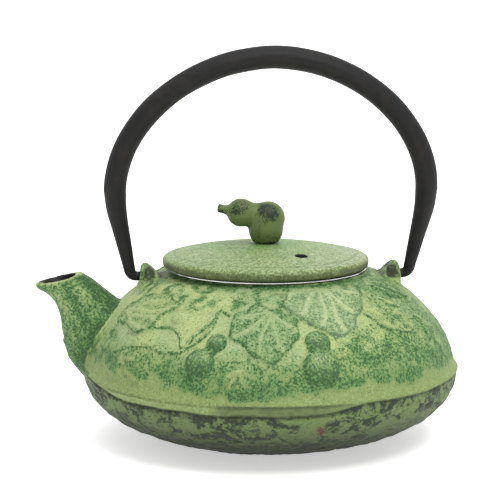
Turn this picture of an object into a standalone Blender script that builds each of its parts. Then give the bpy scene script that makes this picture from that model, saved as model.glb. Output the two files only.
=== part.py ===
"""Cast iron teapot: body with spout and lugs, bail handle, lid with gourd knob, and strainer basket.

Metres, +Z up. The origin is the centre of the flat base. The spout points along -X and the bail
stands in the XZ plane, so its pins turn about X. Lengths below are named in millimetres and turned
into metres by MM.
"""
import math

import bmesh
import bpy
from mathutils import Matrix, Vector

MM = 0.001
GAP = 0.3                   # air between pieces that touch on the real pot
ROUND_STEPS = 48            # facets round every large turned piece
SMALL_STEPS = 24            # facets round the screw, washer and knob
SMOOTH_ANGLE = math.radians(35)
MERGE_DISTANCE = 0.00001
CUTTER_OVERRUN = 8.0        # how far a cutter runs past the face it opens

# Colours, roughness and metallic of the finishes.
GREEN_IRON = ((0.28, 0.40, 0.14), 0.6, 0.0)
LID_GREEN = ((0.30, 0.42, 0.17), 0.6, 0.0)
KNOB_GREEN = ((0.16, 0.24, 0.10), 0.55, 0.0)
BLACK_IRON = ((0.025, 0.022, 0.022), 0.45, 0.0)
STAINLESS_STEEL = ((0.72, 0.72, 0.72), 0.25, 1.0)
SCREEN_STEEL = ((0.55, 0.55, 0.56), 0.4, 1.0)
ZINC_STEEL = ((0.62, 0.62, 0.64), 0.35, 1.0)

# Body shell: a superellipse bowl below the crest and a superellipse dome above it.
CREST_RADIUS = 80.4
CREST_Z = 30.0
BOWL_RADIUS = 79.2
BOWL_HEIGHT = 32.0          # the bowl's half height before the flat base cuts it
BOWL_POWER = 2.18
DOME_RADIUS = 78.4
DOME_HEIGHT = 51.7
DOME_POWER = 1.88
MOUTH_Z = 72.0
MOUTH_OUTER_RADIUS = 41.2
LIP_STEPS = [(0.0, 0.0), (0.7, -0.9), (3.6, -1.8)]      # radius and z from the mouth's outer edge
SHOULDER_RADIUS = 49.0      # where the dome gives way to the flatter ring round the mouth
DOME_FOOT_RISE = 6.0        # where the dome gives way to the crest
CREST_STEPS = [(-2.0, 3.2), (-0.8, 1.2), (0.0, 0.0)]    # radius and z from the crest
SHELL_STEPS = 8
MOUTH_RADIUS = 38.6
CAVITY_RADIUS = 75.0
CAVITY_BOWL_HEIGHT = 28.6
CAVITY_DOME_HEIGHT = 46.5
CAVITY_FOOT_RISE = 4.0
CAVITY_STEPS = 6
FLOOR_THICKNESS = 3.5

# Spout stations from the root to the mouth: front point (x, z), back point (x, z), half width.
SPOUT_STATIONS = [
    ((-70.0, 17.0), (-50.0, 48.0), 15.0),
    ((-79.6, 26.9), (-54.0, 54.0), 14.5),
    ((-85.0, 34.0), (-58.5, 56.6), 13.5),
    ((-87.6, 41.0), (-63.3, 59.1), 12.4),
    ((-88.3, 47.5), (-66.5, 61.5), 11.2),
    ((-89.1, 53.5), (-69.7, 64.0), 10.2),
    ((-91.0, 58.6), (-72.6, 66.5), 9.4),
    ((-94.6, 62.6), (-75.7, 68.9), 8.9),
    ((-99.4, 66.7), (-79.2, 71.4), 8.8),
]
SPOUT_SIDES = 20
SPOUT_KEEL = (0.45, 0.22)   # how much narrower the front is, at the root and at the mouth
SPOUT_WALL = (3.4, 1.6)     # wall thickness at the root and at the mouth
SPOUT_OVERRUN = 6.0         # how far the channel's cutter runs past the mouth

# Lugs and the bail's pins.
PIN_Z = 69.4
PIN_RADIUS = 2.0
PIN_END_X = 50.2
SOCKET_RADIUS = 2.5
SOCKET_END_X = 49.6
LUG_OUTER_X = 55.4
LUG_TOP_Z = 75.4
LUG_FOOT_X = 46.0
LUG_ROOT_Z = 60.0
LUG_FOOT_HALF_WIDTH = 8.0
LUG_FOOT_FLARE = 0.5        # how much farther out the outer face's foot is
LUG_TIP_HALF_WIDTH = 5.7
LUG_TIP_RADIUS = 1.9
LUG_TIP_SETBACK = 0.7       # the rounded tip, from the outer face
LUG_TIP_ANGLES = (20, 48, 76, 104, 132)
LUG_INNER_DROP = 0.6        # the inner face's foot, below the pin
LUG_FRONT_ANGLES = (-10, 15, 40, 65, 90, 115, 140, 165, 190)
LUG_MIDDLE_X = 51.0
LUG_CUTTER_REACH = 10.0

# Bail handle.
BAIL_SPRING_Z = 106.0       # where the legs end and the arch starts
BAIL_HALF_SPAN = 65.9
BAIL_ARCH_HEIGHT = 55.3
BAIL_ARCH_POWER = 1.9
BAIL_TOP_RADIUS = 5.0
BAIL_SPRING_RADIUS = 4.85
BAIL_LEG_TOP = (65.1, 97.5, 4.3)      # x, z, radius
BAIL_LEG_FOOT = (59.7, 73.0, 2.45)
BAIL_BEND_RADIUS = 3.1
BAIL_LEAN = 0.017           # sideways lean towards +X, as the hand-bent bail has
BAIL_ARCH_STEPS = 16
BAIL_LEG_STEPS = 4
BAIL_BEND_STEPS = 5
BAIL_BEVEL_STEPS = 4
BAIL_WIDENING = 1.2         # the arch is this much wider across than it is thick
BAIL_WIDEN_FROM_Z = 76.0
BAIL_WIDEN_TO_Z = 104.0

# Strainer basket, which hangs in the mouth a little off centre, as loose as the real one.
BASKET_SHIFT_X = -1.3
FLANGE_RADIUS = 42.0
FLANGE_THICKNESS = 0.8
FLANGE_CHAMFER = 0.3
SKIRT_OUTER_RADIUS = 36.1
SKIRT_INNER_RADIUS = 35.5
SKIRT_DEPTH = 5.0
WALL_OUTER_RADIUS = 35.2
WALL_INNER_RADIUS = 34.7
WALL_TUCK = 1.0             # the wall's top edge, below the flange's top
BASKET_DEPTH = 43.0
SHEET = 0.6                 # thickness of the pressed bottom ring
BOTTOM_RING_HEIGHT = 4.5
BOTTOM_RING_INNER_RADIUS = 31.0
BOTTOM_RING_CHAMFER = 0.5
SCREEN_THICKNESS = 0.5

# Lid, which sits on the basket's flange with play all round.
LID_SHIFT_X = -1.9
LID_RADIUS = 43.7
LID_SHOULDER_RADIUS = 42.1
LID_SHOULDER_Z = 77.9
LID_TOP_Z = 83.0
LID_SKIRT_Z = 69.6
LID_EDGE = [(43.3, 77.2), (LID_RADIUS, 76.4), (43.6, 74.1), (43.0, 73.5)]    # radius, z
LID_SKIRT = [(33.7, 73.5), (33.3, 72.9), (33.1, LID_SKIRT_Z), (30.8, LID_SKIRT_Z)]
LID_UNDERSIDE_RADIUS = 30.2
LID_UNDERSIDE_TOP_Z = 79.6
LID_UNDERSIDE_EDGE_Z = 75.4
LID_DOME_STEPS = 5
VENT_X = 12.9
VENT_Y = -23.1
VENT_RADIUS = 2.5
SCREW_HOLE_RADIUS = 2.4

# Gourd knob: a turned gourd lying on its side, on a foot that the screw pulls against the lid.
KNOB_BIG_BULB = (1.1, 93.6)           # x from the lid's centre, z
KNOB_SMALL_BULB = (-10.4, 96.0)
KNOB_BIG_RADIUS = 7.2
KNOB_BIG_ANGLES = (32, 12, -8, -28, -48, -68)
KNOB_NECK_RADIUS = 5.2
KNOB_NECK_SHIFT = 0.6                 # the neck, from half way between the bulbs
KNOB_SMALL_RADIUS = 6.1
KNOB_SMALL_ANGLES = (62, 40, 18, -4, -26)
KNOB_STEM_RADIUS = 2.0
KNOB_STEM_REACH = 10.2                # stem's end, from the small bulb's centre
KNOB_STEM_CHAMFER = 0.4
KNOB_STEM_ROOT = 0.5                  # stem's start, out from the small bulb
KNOB_FOOT_Z = 83.3
KNOB_FOOT = [(0.0, 97.0), (4.2, 96.6), (6.1, 94.6), (7.1, 92.0), (7.5, 89.6), (7.4, 87.8),
             (6.8, 86.0), (6.0, 84.5), (5.3, KNOB_FOOT_Z), (0.0, KNOB_FOOT_Z)]    # radius, z
KNOB_FOOT_SHIFT = 0.1                 # the foot's centre, from the lid's
KNOB_SCREW_HOLE_RADIUS = 2.3
KNOB_SCREW_HOLE_TOP_Z = 92.0

# Knob screw and washer.
SCREW_RADIUS = 2.0
SCREW_TIP_Z = 91.2
SCREW_TIP_CHAMFER = 0.4
SCREW_HEAD_RADIUS = 3.5
SCREW_HEAD_HEIGHT = 2.2
SCREW_HEAD_CHAMFER = 0.9
SCREW_SLOT_WIDTH = 0.9
SCREW_SLOT_DEPTH = 1.0
WASHER_RADIUS = 5.0
WASHER_THICKNESS = 0.8
WASHER_GAP = 0.45           # under the lid, whose underside is slightly domed


def clear_scene():
    for obj in list(bpy.data.objects):
        bpy.data.objects.remove(obj, do_unlink=True)


def new_collection(name):
    collection = bpy.data.collections.new(name)
    bpy.context.scene.collection.children.link(collection)
    return collection


def paint(name, colour, roughness, metallic):
    """A Principled material with one colour."""
    material = bpy.data.materials.new(name)
    material.use_nodes = True
    shader = material.node_tree.nodes["Principled BSDF"]
    shader.inputs["Base Color"].default_value = (*colour, 1.0)
    shader.inputs["Roughness"].default_value = roughness
    shader.inputs["Metallic"].default_value = metallic
    return material


def finish_piece(obj, material):
    obj.data.materials.append(material)
    obj.data.shade_smooth()
    obj.data.set_sharp_from_angle(angle=SMOOTH_ANGLE)
    return obj


def make_cutter(obj):
    obj.hide_render = True
    obj.display_type = "WIRE"
    return obj


def object_from_mesh(name, mesh, collection):
    obj = bpy.data.objects.new(name, mesh)
    collection.objects.link(obj)
    return obj


def turned(name, profile, collection, steps=ROUND_STEPS, shift_x=0.0, closed=False):
    """A turned solid. The profile is (radius, z) in millimetres, down the outer side."""
    mesh = bpy.data.meshes.new(name)
    points = [(radius * MM, 0.0, z * MM) for radius, z in profile]
    edges = [(i, i + 1) for i in range(len(points) - 1)]
    if closed:
        edges.append((len(points) - 1, 0))
    mesh.from_pydata(points, edges, [])
    obj = object_from_mesh(name, mesh, collection)
    screw = obj.modifiers.new("turn", "SCREW")
    screw.axis = "Z"
    screw.steps = steps
    screw.render_steps = steps
    screw.use_merge_vertices = True
    screw.merge_threshold = MERGE_DISTANCE
    obj.location.x = shift_x * MM
    return obj


def boolean(obj, cutter, operation):
    modifier = obj.modifiers.new(operation.lower(), "BOOLEAN")
    modifier.object = cutter
    modifier.operation = operation
    modifier.solver = "EXACT"


def lofted(name, rings, collection):
    """A closed solid through rings of equal point counts, capped at both ends."""
    work = bmesh.new()
    loops = [[work.verts.new(point) for point in ring] for ring in rings]
    count = len(loops[0])
    for lower, upper in zip(loops, loops[1:]):
        for i in range(count):
            j = (i + 1) % count
            work.faces.new((lower[i], lower[j], upper[j], upper[i]))
    work.faces.new(list(reversed(loops[0])))
    work.faces.new(loops[-1])
    bmesh.ops.recalc_face_normals(work, faces=work.faces)
    mesh = bpy.data.meshes.new(name)
    work.to_mesh(mesh)
    work.free()
    return object_from_mesh(name, mesh, collection)


def upright_cylinder(name, radius, low_z, high_z, x, y, collection, steps=SMALL_STEPS):
    """A cylinder along Z, in millimetres."""
    mesh = bpy.data.meshes.new(name)
    work = bmesh.new()
    bmesh.ops.create_cone(
        work, cap_ends=True, segments=steps, radius1=radius * MM, radius2=radius * MM,
        depth=(high_z - low_z) * MM)
    work.to_mesh(mesh)
    work.free()
    obj = object_from_mesh(name, mesh, collection)
    obj.location = (x * MM, y * MM, (low_z + high_z) / 2 * MM)
    return obj


def sideways_cylinder(name, radius, low_x, high_x, z, collection, steps=SMALL_STEPS):
    """A cylinder along X, in millimetres."""
    obj = upright_cylinder(name, radius, 0.0, high_x - low_x, 0.0, 0.0, collection, steps)
    obj.rotation_euler.y = math.pi / 2
    obj.location = ((low_x + high_x) / 2 * MM, 0.0, z * MM)
    return obj


def mix(a, b, t):
    return a + (b - a) * t


def smooth_step(low, high, value):
    t = min(max((value - low) / (high - low), 0.0), 1.0)
    return t * t * (3 - 2 * t)


def superellipse_radius(half_width, height, power, rise):
    """Radius of a superellipse dome at a height above its widest point."""
    return half_width * (1 - (rise / height) ** power) ** (1 / power)


def superellipse_rise(half_width, height, power, radius):
    return height * (1 - (radius / half_width) ** power) ** (1 / power)


def arc(across, up, radius, angles):
    """Points round a centre at the given angles, in degrees."""
    turns = [math.radians(angle) for angle in angles]
    return [(across + radius * math.cos(turn), up + radius * math.sin(turn)) for turn in turns]


# --- Body ---------------------------------------------------------------------------------------

def dome_curve(half_width, height, top_radius, foot_rise, steps):
    """Points down the dome from its mouth to just above its widest point."""
    top_rise = superellipse_rise(half_width, height, DOME_POWER, top_radius)
    points = []
    for i in range(steps + 1):
        # even steps in angle, so that the steep side keeps its points
        low = math.asin(foot_rise / height)
        high = math.asin(top_rise / height)
        rise = height * math.sin(mix(high, low, i / steps))
        points.append((superellipse_radius(half_width, height, DOME_POWER, rise), CREST_Z + rise))
    return points


def bowl_curve(half_width, height, floor_z, steps):
    """Points down the bowl from just under the crest to the flat floor."""
    last = math.asin((CREST_Z - floor_z) / height)
    points = []
    for i in range(1, steps + 1):
        drop = height * math.sin(last * i / steps)
        points.append((superellipse_radius(half_width, height, BOWL_POWER, drop), CREST_Z - drop))
    return points


def body_profile():
    """Outer outline of the shell, from the mouth's centre down to the base's centre."""
    profile = [(0.0, MOUTH_Z)]
    profile += [(MOUTH_OUTER_RADIUS + out, MOUTH_Z + up) for out, up in LIP_STEPS]
    profile += dome_curve(DOME_RADIUS, DOME_HEIGHT, SHOULDER_RADIUS, DOME_FOOT_RISE, SHELL_STEPS)
    profile += [(CREST_RADIUS + out, CREST_Z + up) for out, up in CREST_STEPS]
    profile += bowl_curve(BOWL_RADIUS, BOWL_HEIGHT, 0.0, SHELL_STEPS)
    profile.append((0.0, 0.0))
    return profile


def cavity_profile():
    """Outline of the hollow, from above the mouth down to the inside floor."""
    top_z = MOUTH_Z + CUTTER_OVERRUN
    profile = [(0.0, top_z), (MOUTH_RADIUS, top_z)]
    profile += dome_curve(CAVITY_RADIUS, CAVITY_DOME_HEIGHT, MOUTH_RADIUS, CAVITY_FOOT_RISE,
                          CAVITY_STEPS)
    profile.append((CAVITY_RADIUS, CREST_Z))
    profile += bowl_curve(CAVITY_RADIUS, CAVITY_BOWL_HEIGHT, FLOOR_THICKNESS, CAVITY_STEPS)
    profile.append((0.0, FLOOR_THICKNESS))
    return profile


def spout_ring(front, back, half_width, keel, inset):
    """One egg-shaped section of the spout, narrower at the front, as points in metres."""
    front = Vector((front[0], 0.0, front[1]))
    back = Vector((back[0], 0.0, back[1]))
    centre = (front + back) / 2
    reach = (front - back) / 2
    reach *= (reach.length - inset) / reach.length
    ring = []
    for i in range(SPOUT_SIDES):
        angle = 2 * math.pi * i / SPOUT_SIDES
        narrowing = 1 - keel * (1 + math.cos(angle)) / 2
        side = (half_width - inset) * narrowing * math.sin(angle)
        ring.append((centre + reach * math.cos(angle) + Vector((0.0, side, 0.0))) * MM)
    return ring


def spout_rings(hollow):
    """Sections of the spout's outer skin, or of its channel when hollow is true."""
    rings = []
    last = len(SPOUT_STATIONS) - 1
    for i, (front, back, half_width) in enumerate(SPOUT_STATIONS):
        t = i / last
        inset = mix(*SPOUT_WALL, t) if hollow else 0.0
        rings.append(spout_ring(front, back, half_width, mix(*SPOUT_KEEL, t), inset))
    if hollow:
        (front_a, back_a, _), (front_b, back_b, half_width) = SPOUT_STATIONS[-2:]
        run = Vector((front_b[0] + back_b[0] - front_a[0] - back_a[0], 0.0,
                      front_b[1] + back_b[1] - front_a[1] - back_a[1])).normalized()
        run *= SPOUT_OVERRUN * MM
        rings.append([point + run for point in rings[-1]])
    return rings


def lug_outline():
    """The lug from the side: upright outer face, round tip and an inner face that slopes down."""
    points = [(LUG_OUTER_X + LUG_FOOT_FLARE, LUG_ROOT_Z), (LUG_OUTER_X, PIN_Z)]
    tip_x = LUG_OUTER_X - LUG_TIP_SETBACK - LUG_TIP_RADIUS
    tip_z = LUG_TOP_Z - LUG_TIP_RADIUS
    points += arc(tip_x, tip_z, LUG_TIP_RADIUS, LUG_TIP_ANGLES)
    points += [(LUG_FOOT_X, PIN_Z - LUG_INNER_DROP), (LUG_FOOT_X, LUG_ROOT_Z)]
    return points


def lug_front():
    """The lug seen along its pin: round over the pin and wider at its foot, as (y, z)."""
    return [(LUG_FOOT_HALF_WIDTH, LUG_ROOT_Z),
            *arc(0.0, PIN_Z, LUG_TIP_HALF_WIDTH, LUG_FRONT_ANGLES),
            (-LUG_FOOT_HALF_WIDTH, LUG_ROOT_Z)]


def extruded(name, outline, half_depth, matrix, collection):
    """A flat outline in millimetres, thickened both ways and turned into a mesh."""
    curve = bpy.data.curves.new(name, "CURVE")
    curve.dimensions = "2D"
    curve.fill_mode = "BOTH"
    curve.extrude = half_depth * MM
    spline = curve.splines.new("POLY")
    spline.points.add(len(outline) - 1)
    for point, (across, up) in zip(spline.points, outline):
        point.co = (across * MM, up * MM, 0.0, 1.0)
    spline.use_cyclic_u = True
    source = object_from_mesh(name + "_outline", curve, collection)
    source.matrix_world = matrix
    return mesh_from_curve(source, name, collection)


def mesh_from_curve(source, name, collection):
    """The curve's evaluated mesh with its caps welded, as a new object in the same place."""
    bpy.context.view_layer.update()
    graph = bpy.context.evaluated_depsgraph_get()
    mesh = bpy.data.meshes.new_from_object(source.evaluated_get(graph))
    mesh.name = name
    work = bmesh.new()
    work.from_mesh(mesh)
    bmesh.ops.remove_doubles(work, verts=work.verts, dist=MERGE_DISTANCE)
    bmesh.ops.recalc_face_normals(work, faces=work.faces)
    work.to_mesh(mesh)
    work.free()
    obj = object_from_mesh(name, mesh, collection)
    obj.matrix_world = source.matrix_world
    bpy.data.objects.remove(source, do_unlink=True)
    return obj


def make_lug(name, side, cutters):
    """A lug cutter for one side, +1 at +X: its side view crossed with its front view."""
    side_view = Matrix(((side, 0, 0, 0), (0, 0, 1, 0), (0, 1, 0, 0), (0, 0, 0, 1)))
    front_view = Matrix(((0, 0, 1, side * LUG_MIDDLE_X * MM), (1, 0, 0, 0), (0, 1, 0, 0),
                         (0, 0, 0, 1)))
    lug = extruded(name, lug_outline(), LUG_CUTTER_REACH, side_view, cutters)
    crossing = extruded(name + "_front", lug_front(), LUG_CUTTER_REACH, front_view, cutters)
    boolean(lug, make_cutter(crossing), "INTERSECT")
    return make_cutter(lug)


def make_body(parts, cutters, material):
    body = turned("body", body_profile(), parts)
    boolean(body, make_cutter(lofted("spout_skin", spout_rings(False), cutters)), "UNION")
    for name, side in (("lug_left", -1), ("lug_right", 1)):
        boolean(body, make_lug(name, side, cutters), "UNION")
    boolean(body, make_cutter(turned("cavity", cavity_profile(), cutters)), "DIFFERENCE")
    boolean(body, make_cutter(lofted("channel", spout_rings(True), cutters)), "DIFFERENCE")
    for name, side in (("socket_left", -1), ("socket_right", 1)):
        ends = sorted((side * SOCKET_END_X, side * (LUG_OUTER_X + CUTTER_OVERRUN)))
        socket = sideways_cylinder(name, SOCKET_RADIUS, *ends, PIN_Z, cutters)
        boolean(body, make_cutter(socket), "DIFFERENCE")
    return finish_piece(body, material)


# --- Bail ---------------------------------------------------------------------------------------

def half_bail_path():
    """The bail's right half as (x, z, radius), from its pin's end up to the top of the arch."""
    leg_x, leg_z, leg_radius = BAIL_LEG_FOOT
    slope = math.atan2(BAIL_LEG_TOP[0] - leg_x, BAIL_LEG_TOP[1] - leg_z)
    bend_z = PIN_Z + BAIL_BEND_RADIUS
    bend_end_z = bend_z - BAIL_BEND_RADIUS * math.sin(slope)
    bend_end_x = leg_x + (bend_end_z - leg_z) * math.tan(slope)
    bend_x = bend_end_x - BAIL_BEND_RADIUS * math.cos(slope)
    path = [(PIN_END_X, PIN_Z, PIN_RADIUS), (bend_x, PIN_Z, PIN_RADIUS)]
    for i in range(1, BAIL_BEND_STEPS + 1):
        t = i / BAIL_BEND_STEPS
        angle = mix(-math.pi / 2, -slope, t)
        path.append((bend_x + BAIL_BEND_RADIUS * math.cos(angle),
                     bend_z + BAIL_BEND_RADIUS * math.sin(angle),
                     mix(PIN_RADIUS, leg_radius, t)))
    for i in range(1, BAIL_LEG_STEPS + 1):
        t = i / BAIL_LEG_STEPS
        path.append(tuple(mix(a, b, t) for a, b in zip(BAIL_LEG_FOOT, BAIL_LEG_TOP)))
    for i in range(BAIL_ARCH_STEPS + 1):
        angle = math.pi / 2 * i / BAIL_ARCH_STEPS
        power = 2 / BAIL_ARCH_POWER
        path.append((BAIL_HALF_SPAN * abs(math.cos(angle)) ** power,
                     BAIL_SPRING_Z + BAIL_ARCH_HEIGHT * math.sin(angle) ** power,
                     mix(BAIL_SPRING_RADIUS, BAIL_TOP_RADIUS, math.sin(angle))))
    return path


def make_bail(parts, material):
    half = half_bail_path()
    path = half + [(-x, z, radius) for x, z, radius in reversed(half[:-1])]
    curve = bpy.data.curves.new("bail_path", "CURVE")
    curve.dimensions = "3D"
    curve.bevel_depth = MM
    curve.bevel_resolution = BAIL_BEVEL_STEPS
    curve.use_fill_caps = True
    spline = curve.splines.new("POLY")
    spline.points.add(len(path) - 1)
    for point, (x, z, radius) in zip(spline.points, path):
        lean = BAIL_LEAN * (z - PIN_Z)
        point.co = ((x + lean) * MM, 0.0, z * MM, 1.0)
        point.radius = radius
    handle = mesh_from_curve(object_from_mesh("bail_path", curve, parts), "handle", parts)
    for vertex in handle.data.vertices:
        widened = smooth_step(BAIL_WIDEN_FROM_Z * MM, BAIL_WIDEN_TO_Z * MM, vertex.co.z)
        vertex.co.y *= mix(1.0, BAIL_WIDENING, widened)
    pin_line = Matrix.Translation((0.0, 0.0, PIN_Z * MM))
    handle.data.transform(pin_line.inverted())
    handle.matrix_world = pin_line
    return finish_piece(handle, material)


# --- Strainer basket ------------------------------------------------------------------------------

def make_basket(parts, steel, mesh_steel):
    """The basket's rim, wall, bottom ring and bottom screen, each a separate pressing."""
    flange_low = MOUTH_Z + GAP
    flange_top = flange_low + FLANGE_THICKNESS
    rim = turned("infuser_rim", [
        (SKIRT_INNER_RADIUS, flange_top), (FLANGE_RADIUS - FLANGE_CHAMFER, flange_top),
        (FLANGE_RADIUS, flange_top - FLANGE_CHAMFER), (FLANGE_RADIUS, flange_low),
        (SKIRT_OUTER_RADIUS, flange_low), (SKIRT_OUTER_RADIUS, flange_low - SKIRT_DEPTH),
        (SKIRT_INNER_RADIUS, flange_low - SKIRT_DEPTH)],
        parts, shift_x=BASKET_SHIFT_X, closed=True)
    base_z = flange_low - BASKET_DEPTH
    screen_low = base_z + SHEET + GAP
    wall_low = screen_low + SCREEN_THICKNESS + GAP
    wall_top = flange_top - WALL_TUCK
    wall = turned("infuser_wall", [
        (WALL_INNER_RADIUS, wall_top), (WALL_OUTER_RADIUS, wall_top),
        (WALL_OUTER_RADIUS, wall_low), (WALL_INNER_RADIUS, wall_low)],
        parts, shift_x=BASKET_SHIFT_X, closed=True)
    ring = turned("infuser_bottom_ring", [
        (SKIRT_INNER_RADIUS, base_z + BOTTOM_RING_HEIGHT),
        (SKIRT_OUTER_RADIUS, base_z + BOTTOM_RING_HEIGHT),
        (SKIRT_OUTER_RADIUS, base_z + BOTTOM_RING_CHAMFER),
        (SKIRT_OUTER_RADIUS - BOTTOM_RING_CHAMFER, base_z),
        (BOTTOM_RING_INNER_RADIUS, base_z), (BOTTOM_RING_INNER_RADIUS, base_z + SHEET),
        (SKIRT_INNER_RADIUS, base_z + SHEET)],
        parts, shift_x=BASKET_SHIFT_X, closed=True)
    screen = upright_cylinder(
        "infuser_bottom", WALL_INNER_RADIUS - GAP, screen_low, screen_low + SCREEN_THICKNESS,
        BASKET_SHIFT_X, 0.0, parts, steps=ROUND_STEPS)
    for piece, material in ((rim, steel), (wall, mesh_steel), (ring, steel), (screen, mesh_steel)):
        finish_piece(piece, material)


# --- Lid and knob ---------------------------------------------------------------------------------

def lid_profile():
    """Lid outline as (radius, z): domed top, round shoulder, flat rim and locating skirt."""
    profile = []
    for i in range(LID_DOME_STEPS + 1):
        radius = LID_SHOULDER_RADIUS * i / LID_DOME_STEPS
        drop = (LID_TOP_Z - LID_SHOULDER_Z) * (i / LID_DOME_STEPS) ** 2
        profile.append((radius, LID_TOP_Z - drop))
    profile += LID_EDGE + LID_SKIRT
    for i in range(LID_DOME_STEPS):
        t = 1 - i / (LID_DOME_STEPS - 1)
        drop = (LID_UNDERSIDE_TOP_Z - LID_UNDERSIDE_EDGE_Z) * t ** 2
        profile.append((LID_UNDERSIDE_RADIUS * t, LID_UNDERSIDE_TOP_Z - drop))
    return profile


def make_lid(parts, cutters, material):
    lid = turned("lid", lid_profile(), parts, shift_x=LID_SHIFT_X)
    for name, radius, x, y in (("screw_hole", SCREW_HOLE_RADIUS, 0.0, 0.0),
                               ("vent", VENT_RADIUS, VENT_X, VENT_Y)):
        hole = upright_cylinder(name, radius, LID_SKIRT_Z, LID_TOP_Z + CUTTER_OVERRUN,
                                LID_SHIFT_X + x, y, cutters)
        boolean(lid, make_cutter(hole), "DIFFERENCE")
    return finish_piece(lid, material)


def gourd_profile(length):
    """The gourd's outline along its own axis: big bulb at 0, small bulb at length, then the stem."""
    stem_end = length + KNOB_STEM_REACH
    profile = [(0.0, stem_end), (KNOB_STEM_RADIUS, stem_end - KNOB_STEM_CHAMFER),
               (KNOB_STEM_RADIUS, length + KNOB_SMALL_RADIUS + KNOB_STEM_ROOT)]
    profile += arc(0.0, length, KNOB_SMALL_RADIUS, KNOB_SMALL_ANGLES)
    profile.append((KNOB_NECK_RADIUS, length / 2 + KNOB_NECK_SHIFT))
    profile += arc(0.0, 0.0, KNOB_BIG_RADIUS, KNOB_BIG_ANGLES)
    profile.append((0.0, -KNOB_BIG_RADIUS))
    return profile


def make_knob(parts, cutters, material):
    foot = turned("lid_knob", KNOB_FOOT, parts, steps=SMALL_STEPS,
                  shift_x=LID_SHIFT_X + KNOB_FOOT_SHIFT)
    big = Vector((KNOB_BIG_BULB[0], 0.0, KNOB_BIG_BULB[1]))
    small = Vector((KNOB_SMALL_BULB[0], 0.0, KNOB_SMALL_BULB[1]))
    axis = small - big
    gourd = turned("gourd", gourd_profile(axis.length), cutters, steps=SMALL_STEPS)
    gourd.rotation_euler = axis.to_track_quat("Z", "Y").to_euler()
    gourd.location = (big + Vector((LID_SHIFT_X, 0.0, 0.0))) * MM
    boolean(foot, make_cutter(gourd), "UNION")
    tapping = upright_cylinder("knob_tapping", KNOB_SCREW_HOLE_RADIUS,
                               KNOB_FOOT_Z - CUTTER_OVERRUN, KNOB_SCREW_HOLE_TOP_Z, LID_SHIFT_X,
                               0.0, cutters)
    boolean(foot, make_cutter(tapping), "DIFFERENCE")
    return finish_piece(foot, material)


def make_fastener(parts, cutters, material):
    """The screw that holds the knob from under the lid, and its washer."""
    washer_top = LID_UNDERSIDE_TOP_Z - WASHER_GAP
    washer_low = washer_top - WASHER_THICKNESS
    washer = turned("knob_washer", [
        (KNOB_SCREW_HOLE_RADIUS, washer_top), (WASHER_RADIUS, washer_top),
        (WASHER_RADIUS, washer_low), (KNOB_SCREW_HOLE_RADIUS, washer_low)],
        parts, steps=SMALL_STEPS, shift_x=LID_SHIFT_X, closed=True)
    head_top = washer_low - GAP
    head_low = head_top - SCREW_HEAD_HEIGHT
    screw = turned("knob_screw", [
        (0.0, SCREW_TIP_Z), (SCREW_RADIUS - SCREW_TIP_CHAMFER, SCREW_TIP_Z),
        (SCREW_RADIUS, SCREW_TIP_Z - SCREW_TIP_CHAMFER), (SCREW_RADIUS, head_top),
        (SCREW_HEAD_RADIUS, head_top), (SCREW_HEAD_RADIUS, head_low + SCREW_HEAD_CHAMFER),
        (SCREW_HEAD_RADIUS - SCREW_HEAD_CHAMFER, head_low), (0.0, head_low)],
        parts, steps=SMALL_STEPS, shift_x=LID_SHIFT_X)
    mesh = bpy.data.meshes.new("screw_slot")
    work = bmesh.new()
    bmesh.ops.create_cube(work, size=MM)
    bmesh.ops.scale(work, verts=work.verts,
                    vec=(3 * SCREW_HEAD_RADIUS, SCREW_SLOT_WIDTH, 2 * SCREW_SLOT_DEPTH))
    work.to_mesh(mesh)
    work.free()
    slot = object_from_mesh("screw_slot", mesh, cutters)
    slot.location = (LID_SHIFT_X * MM, 0.0, head_low * MM)
    boolean(screw, make_cutter(slot), "DIFFERENCE")
    finish_piece(washer, material)
    finish_piece(screw, material)


def main():
    clear_scene()
    parts = new_collection("cast_iron_teapot")
    cutters = new_collection("cutters")
    green_iron = paint("green_painted_iron", *GREEN_IRON)
    lid_green = paint("lid_green", *LID_GREEN)
    knob_green = paint("knob_green", *KNOB_GREEN)
    black_iron = paint("black_iron", *BLACK_IRON)
    steel = paint("stainless_steel", *STAINLESS_STEEL)
    screen_steel = paint("steel_screen", *SCREEN_STEEL)
    zinc = paint("zinc_plated_steel", *ZINC_STEEL)
    make_body(parts, cutters, green_iron)
    make_bail(parts, black_iron)
    make_basket(parts, steel, screen_steel)
    make_lid(parts, cutters, lid_green)
    make_knob(parts, cutters, knob_green)
    make_fastener(parts, cutters, zinc)


main()
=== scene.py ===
import math

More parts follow.
